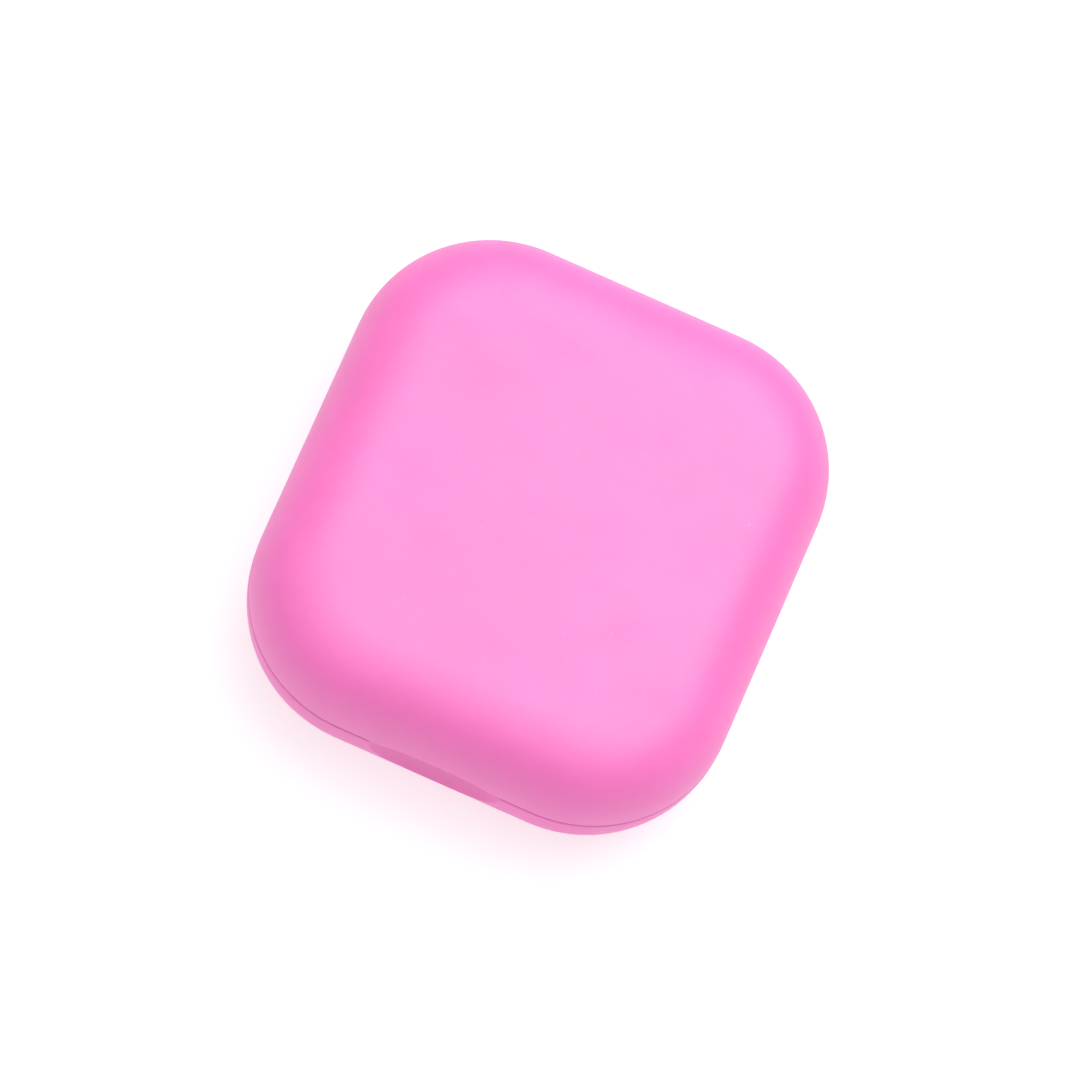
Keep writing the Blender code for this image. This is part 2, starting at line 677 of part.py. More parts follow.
# ---------------------------------------------------------------- tweezers
def arm_outline(start_offset, end_offset, length, start):
    """The outline of one tweezer arm, seen from above, with X along the arm."""
    count = 10
    left, right = [], []
    for step in range(count + 1):
        share = step / count
        x = start + (length - start) * share
        middle = start_offset + (end_offset - start_offset) * share
        middle += math.copysign(TWEEZER_BOW, end_offset) * math.sin(math.pi * share)
        half = (ARM_ROOT + (ARM_END - ARM_ROOT) * share) / 2
        left.append((x, middle + half))
        right.append((x, middle - half))
    return right + left[::-1]


def build_tweezers(body):
    """Two sprung arms with silicone tips. The real moulding is one piece, split here at its bend."""
    half_room = inside_half_width(TWEEZER_Y + TWEEZER_SPAN / 2, REST) - PIECE_GAP
    tail = (-half_room + TAIL_RADIUS, TWEEZER_Y, REST + TIP_LIFT + TIP_WALL + GAP)
    tip_offset = (TWEEZER_SPAN - TIP_THICKNESS) / 2
    arm_length = 2 * half_room - TAIL_RADIUS - TIP_LENGTH + TIP_ENGAGED
    wall_middle = (TAIL_RADIUS + TAIL_PIVOT + GAP) / 2

    fixed_bm = outline_prism(arm_outline(-wall_middle, -tip_offset, arm_length, 0), 0, TWEEZER_HEIGHT)
    fixed = add_object("tweezer_arm_fixed", fixed_bm, CLEAR_PINK, tail)
    fixed.parent = body
    tail_disc = rod(TAIL_RADIUS, 0, TWEEZER_HEIGHT, ROUND_STEPS)
    combine(fixed, add_object("tweezer_tail", tail_disc, location=tail), "UNION")
    socket = rod(TAIL_PIVOT + GAP, -OVERLAP, TWEEZER_HEIGHT + OVERLAP, ROUND_STEPS)
    combine(fixed, add_object("tweezer_socket", socket, location=tail), "DIFFERENCE")
    sweep = (ARM_ROOT / 2 + GAP) / math.cos(SQUEEZE_ANGLE)
    drop = 2 * TAIL_RADIUS * math.tan(SQUEEZE_ANGLE)
    slot_outline = [
        (0, -sweep),
        (2 * TAIL_RADIUS, -sweep - drop),
        (2 * TAIL_RADIUS, 2 * TAIL_RADIUS),
        (TAIL_PIVOT, 2 * TAIL_RADIUS),
        (0, sweep),
    ]
    slot = outline_prism(slot_outline, -OVERLAP, TWEEZER_HEIGHT + OVERLAP)
    combine(fixed, add_object("tweezer_slot", slot, location=tail), "DIFFERENCE")

    moving_bm = outline_prism(arm_outline(0, tip_offset, arm_length, 0), 0, TWEEZER_HEIGHT)
    moving = add_object("tweezer_arm_moving", moving_bm, CLEAR_PINK, tail)
    moving.parent = body
    pivot = rod(TAIL_PIVOT, 0, TWEEZER_HEIGHT, ROUND_STEPS)
    combine(moving, add_object("tweezer_pivot", pivot, location=tail), "UNION")

    tip_start = arm_length - TIP_ENGAGED
    half = TIP_THICKNESS / 2
    for name, side in (("fixed", -1), ("moving", 1)):
        y = side * tip_offset
        low = (tip_start, y - half, -GAP - TIP_WALL)
        high = (tip_start + TIP_LENGTH, y + half, TWEEZER_HEIGHT + GAP + TIP_WALL)
        sleeve = box(low, high)
        bmesh.ops.bevel(
            sleeve,
            geom=[edge for edge in sleeve.edges if all(vert.co.x > tip_start + half for vert in edge.verts)],
            offset=half / 2,
            segments=2,
            affect="EDGES",
            profile=0.5,
        )
        tip = add_object(f"tweezer_tip_{name}", sleeve, SILICONE, tail)
        tip.parent = body
        pocket_low = (tip_start - OVERLAP, y - half + TIP_WALL, -GAP)
        pocket_high = (arm_length + GAP, y + half - TIP_WALL, TWEEZER_HEIGHT + GAP)
        pocket = box(pocket_low, pocket_high)
        combine(tip, add_object(f"tweezer_pocket_{name}", pocket, location=tail), "DIFFERENCE")


# ---------------------------------------------------------------- applicator
def build_applicator(body):
    """A stick with a soft suction cup on its end, lying along X."""
    half_room = inside_half_width(APPLICATOR_Y, TRAY_TOP) - RIB_INSET
    place = (-half_room, APPLICATOR_Y, APPLICATOR_Z)
    radius = APPLICATOR_RADIUS
    shoulder = 2 * half_room - APPLICATOR_CUP_LENGTH - GAP
    spigot_end = shoulder + APPLICATOR_SPIGOT_LENGTH
    waist = radius - 2 * RIM_CHAMFER
    stick = [
        (0, 0),
        (radius - RIM_CHAMFER, 0),
        (radius, RIM_CHAMFER),
        (radius, shoulder * 0.45),
        (waist, shoulder * 0.5),
        (waist, shoulder - RIM_CHAMFER),
        (waist - RIM_CHAMFER, shoulder),
        (APPLICATOR_SPIGOT, shoulder),
        (APPLICATOR_SPIGOT, spigot_end),
        (0, spigot_end),
    ]
    add_object("applicator_handle", along_x(turned(stick)), CLEAR_PINK, place).parent = body
    start = shoulder + GAP
    end = start + APPLICATOR_CUP_LENGTH
    web = spigot_end + GAP
    middle = (web + end) / 2
    outer = APPLICATOR_CUP_RADIUS
    socket = APPLICATOR_SPIGOT + GAP / 2
    cup = [
        (0, web),
        (socket, web),
        (socket, start),
        (waist, start),
        (waist, web),
        (outer, end),
        (outer - PIECE_GAP, end),
        (waist - PIECE_GAP, middle + PIECE_GAP),
        (0, middle),
    ]
    add_object("applicator_cup", along_x(turned(cup)), SILICONE, place).parent = body


# ---------------------------------------------------------------- bottle
def build_bottle(body):
    """The solution bottle on its side, with its orifice plug, screw cap and liner."""
    low_room = inside_half_width(BOTTLE_Y, REST)
    start = PIECE_GAP - min(inside_half_width(BOTTLE_Y + BOTTLE_RADIUS, BOTTLE_Z), low_room)
    cap_room = inside_half_width(BOTTLE_Y + BOTTLE_CAP_RADIUS, BOTTLE_Z - BOTTLE_CAP_RADIUS)
    cap_room -= PIECE_GAP + BOTTLE_PITCH
    neck_foot = cap_room - BOTTLE_CAP_END
    place = (neck_foot, BOTTLE_Y, BOTTLE_Z)
    foot = start - neck_foot
    outer, inner = BOTTLE_RADIUS, BOTTLE_RADIUS - BOTTLE_WALL
    edge = BOTTLE_WALL
    walls = [
        (0, foot),
        (outer - edge, foot),
        (outer, foot + edge),
        (outer, -BOTTLE_SHOULDER),
        (outer - edge, -BOTTLE_SHOULDER / 3),
        (BOTTLE_NECK_RADIUS, 0),
        (BOTTLE_NECK_RADIUS, BOTTLE_NECK_LENGTH),
        (BOTTLE_BORE, BOTTLE_NECK_LENGTH),
        (BOTTLE_BORE, -BOTTLE_WALL),
        (inner - edge, -BOTTLE_SHOULDER / 3 - BOTTLE_WALL),
        (inner, -BOTTLE_SHOULDER - BOTTLE_WALL),
        (inner, foot + BOTTLE_WALL + edge),
        (inner - edge, foot + BOTTLE_WALL),
        (0, foot + BOTTLE_WALL),
    ]
    bottle = add_object("bottle_body", along_x(turned(walls)), BOTTLE_PLASTIC, place)
    bottle.parent = body
    crest = BOTTLE_NECK_RADIUS + BOTTLE_RIDGE
    root = BOTTLE_NECK_RADIUS - OVERLAP
    first = BOTTLE_PITCH * 0.9
    ridge = thread(root, crest, BOTTLE_PITCH, 1.2, first, 0.0, BOTTLE_ROOT, BOTTLE_CREST)
    combine(bottle, add_object("bottle_thread", along_x(ridge), location=place), "UNION")

    seat = BOTTLE_NECK_LENGTH + GAP
    plug = BOTTLE_BORE - GAP / 2
    nozzle = [
        (NOZZLE_HOLE, NOZZLE_TOP),
        (NOZZLE_HOLE, seat - GAP),
        (plug - NOZZLE_FLANGE, BOTTLE_NECK_LENGTH - NOZZLE_PLUG),
        (plug, BOTTLE_NECK_LENGTH - NOZZLE_PLUG),
        (plug, seat),
        (BOTTLE_NECK_RADIUS - GAP, seat),
        (BOTTLE_NECK_RADIUS - GAP, seat + NOZZLE_FLANGE),
        (2 * NOZZLE_HOLE + NOZZLE_FLANGE, seat + NOZZLE_FLANGE),
        (2 * NOZZLE_HOLE, NOZZLE_TOP),
    ]
    add_object("bottle_nozzle", along_x(turned(nozzle, closed=True)), SILICONE, place).parent = body

    liner = rod(BOTTLE_CAP_BORE - BOTTLE_RIDGE - GAP, NOZZLE_TOP + GAP, NOZZLE_TOP + GAP + LINER_THICKNESS)
    add_object("bottle_cap_liner", along_x(liner), FOAM_TAPE, place).parent = body

    skirt = GAP
    corner = 2 * RIM_CHAMFER
    shape = [
        (0, BOTTLE_CAP_CEILING),
        (BOTTLE_CAP_BORE, BOTTLE_CAP_CEILING),
        (BOTTLE_CAP_BORE, skirt),
        (BOTTLE_CAP_RADIUS, skirt),
        (BOTTLE_CAP_RADIUS, BOTTLE_CAP_END - corner),
        (BOTTLE_CAP_RADIUS - corner, BOTTLE_CAP_END),
        (0, BOTTLE_CAP_END),
    ]
    cap = add_object("bottle_cap", along_x(turned(shape)), CAP_PINK, place)
    cap.parent = body
    root = BOTTLE_CAP_BORE + OVERLAP
    crest = BOTTLE_CAP_BORE - BOTTLE_RIDGE
    first = BOTTLE_PITCH * 0.4
    ridge = thread(root, crest, BOTTLE_PITCH, 0.8, first, 0.2, BOTTLE_ROOT, BOTTLE_CREST)
    combine(cap, add_object("bottle_cap_thread", along_x(ridge), location=place), "UNION")


def main():
    """Build every piece."""
    clear_scene()
    body = bpy.data.objects.new("case_body", None)
    body.location = (0, BODY_Y, 0)
    bpy.context.scene.collection.objects.link(body)
    build_base(body)
    build_lid(body)
    build_pin(body)
    build_tray(body)
    build_mirror(body)
    build_lens_case(body)
    build_lens_cap(body, "left", -1, CAP_PINK)
    build_lens_cap(body, "right", 1, WHITE_PLASTIC)
    build_tweezers(body)
    build_applicator(body)
    build_bottle(body)


if __name__ == "__main__":
    main()
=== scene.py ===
"""The looks of a travel contact lens case: fine meshes, moulded finishes, floor, light and camera.

Every mesh is built inside the fixed frame of the case's CAD model.
"""

import logging
import math
from dataclasses import dataclass, field
from enum import Enum
from typing import Callable, Sequence, Union

import bmesh
import bpy
from mathutils import Matrix, Vector


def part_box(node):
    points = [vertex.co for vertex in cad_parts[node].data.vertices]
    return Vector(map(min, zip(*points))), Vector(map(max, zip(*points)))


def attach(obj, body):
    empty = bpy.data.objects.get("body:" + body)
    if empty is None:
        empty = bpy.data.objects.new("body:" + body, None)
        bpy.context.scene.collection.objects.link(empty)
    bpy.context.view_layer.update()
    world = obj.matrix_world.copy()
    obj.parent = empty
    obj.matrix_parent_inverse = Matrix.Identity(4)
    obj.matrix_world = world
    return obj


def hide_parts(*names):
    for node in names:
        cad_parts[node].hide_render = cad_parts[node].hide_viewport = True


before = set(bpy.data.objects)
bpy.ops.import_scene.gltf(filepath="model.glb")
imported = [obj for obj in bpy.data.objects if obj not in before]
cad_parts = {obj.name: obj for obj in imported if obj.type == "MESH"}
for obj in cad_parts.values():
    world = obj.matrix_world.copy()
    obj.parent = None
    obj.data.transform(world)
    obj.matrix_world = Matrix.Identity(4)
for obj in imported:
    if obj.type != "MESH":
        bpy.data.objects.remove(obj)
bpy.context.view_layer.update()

LOG = logging.getLogger("lens_case")
Point = Sequence[float]


class Body(Enum):
    """The moving bodies that pieces ride on."""

    BASE = "base"
    LID = "lid"
    LEFT_SEAL = "left_seal"
    LEFT_CAP = "left_cap"
    RIGHT_SEAL = "right_seal"
    RIGHT_CAP = "right_cap"
    TWEEZER_ARM = "tweezer_arm"
    BOTTLE_LINER = "bottle_liner"
    BOTTLE_CAP = "bottle_cap"


class Slot(Enum):
    """The material slots that the record names."""

    PINK = "pink_plastic"
    TRAY = "tray_plastic"
    WHITE = "white_plastic"
    CAP = "cap_pink"
    CLEAR = "clear_pink"
    SILICONE = "silicone"
    STEEL = "steel"
    MIRROR = "mirror_glass"
    FOAM = "foam_tape"
    BOTTLE = "bottle_plastic"


class Cut(Enum):
    """How a tool changes the mesh that it is applied to."""

    ADD = "UNION"
    REMOVE = "DIFFERENCE"


# ---------------------------------------------------------------- shader graph
class Value:
    """A shader socket that takes part in Python arithmetic."""

    def __init__(self, graph: "Graph", socket: bpy.types.NodeSocket) -> None:
        """Wrap an output socket of a graph."""
        self.graph = graph
        self.socket = socket

    def _math(self, operation: str, first: "Operand", second: "Operand") -> "Value":
        """Add a Math node and return its result."""
        return self.graph.node("ShaderNodeMath", {"operation": operation}, {0: first, 1: second})

    def __add__(self, other: "Operand") -> "Value":
        """Return self + other."""
        return self._math("ADD", self, other)

    def __radd__(self, other: "Operand") -> "Value":
        """Return other + self."""
        return self._math("ADD", other, self)

    def __sub__(self, other: "Operand") -> "Value":
        """Return self - other."""
        return self._math("SUBTRACT", self, other)

    def __rsub__(self, other: "Operand") -> "Value":
        """Return other - self."""
        return self._math("SUBTRACT", other, self)

    def __mul__(self, other: "Operand") -> "Value":
        """Return self * other."""
        return self._math("MULTIPLY", self, other)

    def __rmul__(self, other: "Operand") -> "Value":
        """Return other * self."""
        return self._math("MULTIPLY", other, self)

    def __pow__(self, other: "Operand") -> "Value":
        """Return self raised to other."""
        return self._math("POWER", self, other)

    def between(self, low: float, high: float) -> "Value":
        """Ramp smoothly from 0 at low to 1 at high."""
        settings = {"interpolation_type": "SMOOTHSTEP"}
        return self.graph.node("ShaderNodeMapRange", settings, {0: self, 1: low, 2: high})


Operand = Union[Value, float, int, Sequence[float]]


class Graph:
    """A material's node tree, with one method that adds any node."""

    def __init__(self, name: str) -> None:
        """Make an empty material.

        Args:
            name: The material's name.
        """
        self.material = bpy.data.materials.new(name)
        self.material.use_nodes = True
        self.tree = self.material.node_tree
        self.tree.nodes.clear()

    def add(self, kind: str, settings: dict, inputs: dict) -> bpy.types.Node:
        """Add a node, apply its settings, then its socket values and links.

        Args:
            kind: The node's type.
            settings: Attribute values, which are set first.
            inputs: Socket key to a number, a sequence or a Value.

        Returns:
            The node.
        """
        node = self.tree.nodes.new(kind)
        for key, setting in settings.items():
            setattr(node, key, setting)
        for key, given in inputs.items():
            if isinstance(given, Value):
                self.tree.links.new(given.socket, node.inputs[key])
            else:
                node.inputs[key].default_value = given
        return node

    def node(self, kind: str, settings: dict, inputs: dict, output: Union[int, str] = 0) -> Value:
        """Add a node and return one of its outputs."""
        return Value(self, self.add(kind, settings, inputs).outputs[output])

    def place(self) -> Value:
        """Return the point on the object, in metres."""
        return self.node("ShaderNodeTexCoord", {}, {}, "Object")

    def stretched(self, scale: Point) -> Value:
        """Return the point on the object, scaled along each axis."""
        settings = {"operation": "MULTIPLY"}
        return self.node("ShaderNodeVectorMath", settings, {0: self.place(), 1: scale})

    def noise(self, size: float, detail: float = 3.0, point: Union[Value, None] = None) -> Value:
        """Return a noise from 0 to 1, whose largest features are as long as size."""
        inputs = {"Vector": point or self.place(), "Scale": 1.0 / size, "Detail": detail}
        return self.node("ShaderNodeTexNoise", {"noise_dimensions": "3D"}, inputs, 0)

    def spots(self, size: float, randomness: float = 1.0) -> Value:
        """Return the distance to the nearest of many scattered points, as a share of size."""
        inputs = {"Vector": self.place(), "Scale": 1.0 / size, "Randomness": randomness}
        return self.node("ShaderNodeTexVoronoi", {"feature": "F1"}, inputs, "Distance")

    def mix(self, factor: Operand, first: Operand, second: Operand) -> Value:
        """Blend two colours: 0 gives the first and 1 the second."""
        node = self.add("ShaderNodeMix", {"data_type": "RGBA"}, {0: factor, 6: first, 7: second})
        return Value(self, node.outputs[2])

    def bump(self, height: Value, depth: float, under: Union[Value, None] = None) -> Value:
        """Turn a height into a normal.

        Args:
            height: A height from 0 to 1.
            depth: What a height of 1 stands for, in metres.
            under: A coarser normal that this one rides on.

        Returns:
            The normal.
        """
        inputs = {"Height": height, "Distance": depth, "Strength": 1.0}
        if under is not None:
            inputs["Normal"] = under
        return self.node("ShaderNodeBump", {}, inputs)

    def surface(self, inputs: dict) -> bpy.types.Material:
        """Close the graph with a Principled BSDF.

        Args:
            inputs: The shader's socket values and links.

        Returns:
            The finished material.
        """
        shader = self.node("ShaderNodeBsdfPrincipled", {}, inputs)
        self.add("ShaderNodeOutputMaterial", {}, {"Surface": shader})
        return self.material


def rgba(colour: Point) -> tuple:
    """Return a colour with full alpha."""
    return (*colour, 1.0)


def shaded(colour: Point, share: float) -> tuple:
    """Return a colour made darker or lighter by a factor, with full alpha."""
    return rgba([min(channel * share, 1.0) for channel in colour])


# ---------------------------------------------------------------- finishes
@dataclass(frozen=True)
class MouldedPlastic:
    """Injection-moulded plastic with a fine grain, faint flow marks, handling smudges and dust."""

    name: str
    colour: tuple
    roughness: float = 0.36
    grain_size: float = 0.00022
    grain_depth: float = 0.000006
    smudge: float = 0.10
    dust: float = 0.35
    depth_glow: float = 0.12
    clear: float = 0.0
    coat: float = 0.0
    ior: float = 1.49

    def build(self) -> bpy.types.Material:
        """Make the material.

        Returns:
            The material.
        """
        graph = Graph(self.name)
        flow = graph.noise(0.022, 2.0)
        mottle = graph.noise(0.0035, 4.0)
        tone = flow * 0.65 + mottle * 0.35
        base = graph.mix(tone.between(0.25, 0.75), shaded(self.colour, 0.955), shaded(self.colour, 1.04))
        prints = graph.noise(0.011, 3.0, graph.stretched((1.0, 1.6, 1.0))).between(0.48, 0.72)
        ridges = graph.noise(0.0007, 2.0, graph.stretched((1.0, 4.0, 1.0)))
        scuffs = graph.noise(0.0016, 5.0, graph.stretched((9.0, 0.6, 2.0))).between(0.66, 0.74)
        specks = 1.0 - graph.spots(0.0042).between(0.020, 0.034)
        gritty = graph.noise(0.013, 1.0).between(0.52, 0.62)
        dust = specks * gritty * self.dust
        dusted = graph.mix(dust, base, (0.93, 0.90, 0.91, 1.0))
        worn = graph.mix(scuffs * 0.06, dusted, (1.0, 0.90, 0.95, 1.0))
        rough = self.roughness + prints * ridges * self.smudge - scuffs * 0.04
        rough = rough + (mottle - 0.5) * 0.05 + dust * 0.3
        grain = graph.noise(self.grain_size, 2.0)
        ripple = graph.bump(flow, 0.00004)
        normal = graph.bump(grain - scuffs * 0.35, self.grain_depth, ripple)
        inputs = {
            "Base Color": worn,
            "Roughness": rough,
            "Normal": normal,
            "IOR": self.ior,
            "Subsurface Weight": self.depth_glow,
            "Subsurface Radius": (1.0, 0.25, 0.5),
            "Subsurface Scale": 0.0022,
            "Transmission Weight": self.clear,
            "Coat Weight": self.coat,
            "Coat Roughness": 0.12,
        }
        return graph.surface(inputs)


@dataclass(frozen=True)
class SoftSilicone:
    """Soft frosted silicone rubber, cloudy inside and slightly tacky with lint."""

    name: str
    colour: tuple
    roughness: float = 0.52

    def build(self) -> bpy.types.Material:
        """Make the material.

        Returns:
            The material.
        """
        graph = Graph(self.name)
        cloud = graph.noise(0.0030, 4.0)
        base = graph.mix(cloud.between(0.3, 0.7), shaded(self.colour, 0.93), shaded(self.colour, 1.03))
        lint = graph.noise(0.0009, 4.0, graph.stretched((6.0, 1.0, 1.0))).between(0.70, 0.76)
        linted = graph.mix(lint * 0.35, base, (0.97, 0.97, 0.97, 1.0))
        normal = graph.bump(graph.noise(0.00030, 3.0), 0.000008)
        inputs = {
            "Base Color": linted,
            "Roughness": self.roughness + (cloud - 0.5) * 0.12,
            "Normal": normal,
            "IOR": 1.41,
            "Subsurface Weight": 0.35,
            "Subsurface Radius": (1.0, 0.9, 0.9),
            "Subsurface Scale": 0.0018,
        }
        return graph.surface(inputs)


@dataclass(frozen=True)
class DrawnSteel:
    """Drawn steel wire with fine lines along it and a trace of polishing."""

    name: str
    colour: tuple
    roughness: float = 0.24

    def build(self) -> bpy.types.Material:
        """Make the material.

        Returns:
            The material.
        """
        graph = Graph(self.name)
        lines = graph.noise(0.0006, 4.0, graph.stretched((0.05, 3.0, 3.0)))
        stain = graph.noise(0.0050, 3.0)
        base = graph.mix(stain.between(0.4, 0.8), rgba(self.colour), shaded(self.colour, 0.82))
        inputs = {
            "Base Color": base,
            "Metallic": 1.0,
            "Roughness": self.roughness + lines * 0.14,
            "Normal": graph.bump(lines, 0.000004),
        }
        return graph.surface(inputs)


@dataclass(frozen=True)
class SilveredGlass:
    """A small mirror with faint wiping streaks and finger marks."""

    name: str
    colour: tuple

    def build(self) -> bpy.types.Material:
        """Make the material.

        Returns:
            The material.
        """
        graph = Graph(self.name)
        streaks = graph.noise(0.0040, 4.0, graph.stretched((0.35, 2.2, 1.0))).between(0.45, 0.80)
        marks = graph.noise(0.0090, 2.0).between(0.55, 0.75)
        ridges = graph.noise(0.0006, 1.0, graph.stretched((1.0, 3.0, 1.0)))
        haze = streaks * 0.05 + marks * ridges * 0.10
        base = graph.mix(haze, rgba(self.colour), shaded(self.colour, 0.90))
        inputs = {
            "Base Color": base,
            "Metallic": 1.0,
            "Roughness": 0.02 + haze,
            "Normal": graph.bump(graph.noise(0.012, 1.0), 0.0000015),
        }
        return graph.surface(inputs)


@dataclass(frozen=True)
class ClosedFoam:
    """Thin closed-cell foam with open cut cells on its surface, and painted shade in the cell pits."""

    name: str
    colour: tuple

    def build(self) -> bpy.types.Material:
        """Make the material.

        Returns:
            The material.
        """
        graph = Graph(self.name)
        cells = graph.spots(0.00045)
        shade = graph.noise(0.004, 3.0)
        # Painted shade: the foam's colour is darker where the cells sink into pits.
        base = graph.mix(cells.between(0.1, 0.6), shaded(self.colour, 0.80), shaded(self.colour, 1.02))
        toned = graph.mix(shade.between(0.4, 0.7) * 0.2, base, shaded(self.colour, 0.92))
        inputs = {
            "Base Color": toned,
            "Roughness": 0.82 + cells * 0.12,
            "Normal": graph.bump(cells, 0.00006),
        }
        return graph.surface(inputs)


@dataclass(frozen=True)
class StudioPaper:
    """A matt white sheet with a faint tooth, lit a little from below."""

    name: str
    colour: tuple
    glow: float = 0.60

    def build(self) -> bpy.types.Material:
        """Make the material.

        Returns:
            The material.
        """
        graph = Graph(self.name)
        tooth = graph.noise(0.0012, 4.0)
        base = graph.mix(tooth.between(0.3, 0.7), shaded(self.colour, 0.995), rgba(self.colour))
        normal = graph.bump(tooth, 0.00001)
        inputs = {
            "Base Color": base,
            "Roughness": 0.9 + tooth * 0.05,
            "Normal": normal,
            "Emission Color": (1.0, 1.0, 1.0, 1.0),
            "Emission Strength": self.glow,
        }
        return graph.surface(inputs)


PINK_SHELL = MouldedPlastic("PinkShell", (0.93, 0.165, 0.53), roughness=0.47, depth_glow=0.30, ior=1.8)
PALE_TRAY = MouldedPlastic("PaleTray", (0.80, 0.50, 0.65), roughness=0.46, dust=0.2)
WHITE_CASE = MouldedPlastic("WhiteCase", (0.66, 0.66, 0.67), roughness=0.30, depth_glow=0.25)
PINK_CAP = MouldedPlastic("PinkCap", (0.84, 0.13, 0.40), roughness=0.30)
WHITE_CAP = MouldedPlastic("WhiteCap", (0.64, 0.64, 0.65), roughness=0.30, depth_glow=0.25)
TINTED_PLASTIC = MouldedPlastic("TintedPlastic", (0.93, 0.45, 0.66), roughness=0.16, clear=0.45, coat=0.2)
BOTTLE_PLASTIC = MouldedPlastic("BottlePlastic", (0.66, 0.67, 0.69), roughness=0.30, depth_glow=0.5)
SILICONE = SoftSilicone("Silicone", (0.70, 0.70, 0.72))
PIN_STEEL = DrawnSteel("PinSteel", (0.62, 0.63, 0.65))
MIRROR_FACE = SilveredGlass("MirrorFace", (0.90, 0.91, 0.92))
FOAM_PAD = ClosedFoam("FoamPad", (0.70, 0.70, 0.67))
FLOOR_PAPER = StudioPaper("FloorPaper", (0.50, 0.50, 0.50))
Finish = Union[MouldedPlastic, SoftSilicone, DrawnSteel, SilveredGlass, ClosedFoam, StudioPaper]


class Paints:
    """Builds each finish once and hands it out again."""

    def __init__(self) -> None:
        """Start with no material made."""
        self.made: dict = {}

    def of(self, finish: Finish) -> bpy.types.Material:
        """Return a finish's material.

        Args:
            finish: The finish.

        Returns:
            Its material, made on first use.
        """
        if finish.name not in self.made:
            self.made[finish.name] = finish.build()
        return self.made[finish.name]


PAINTS = Paints()


# ---------------------------------------------------------------- meshes
@dataclass(frozen=True)
class Fineness:
    """How finely round shapes are divided."""

    corner: int = 26
    fillet: int = 16
    edge: int = 4
    turn: int = 96
    thread: int = 40


FINE = Fineness()


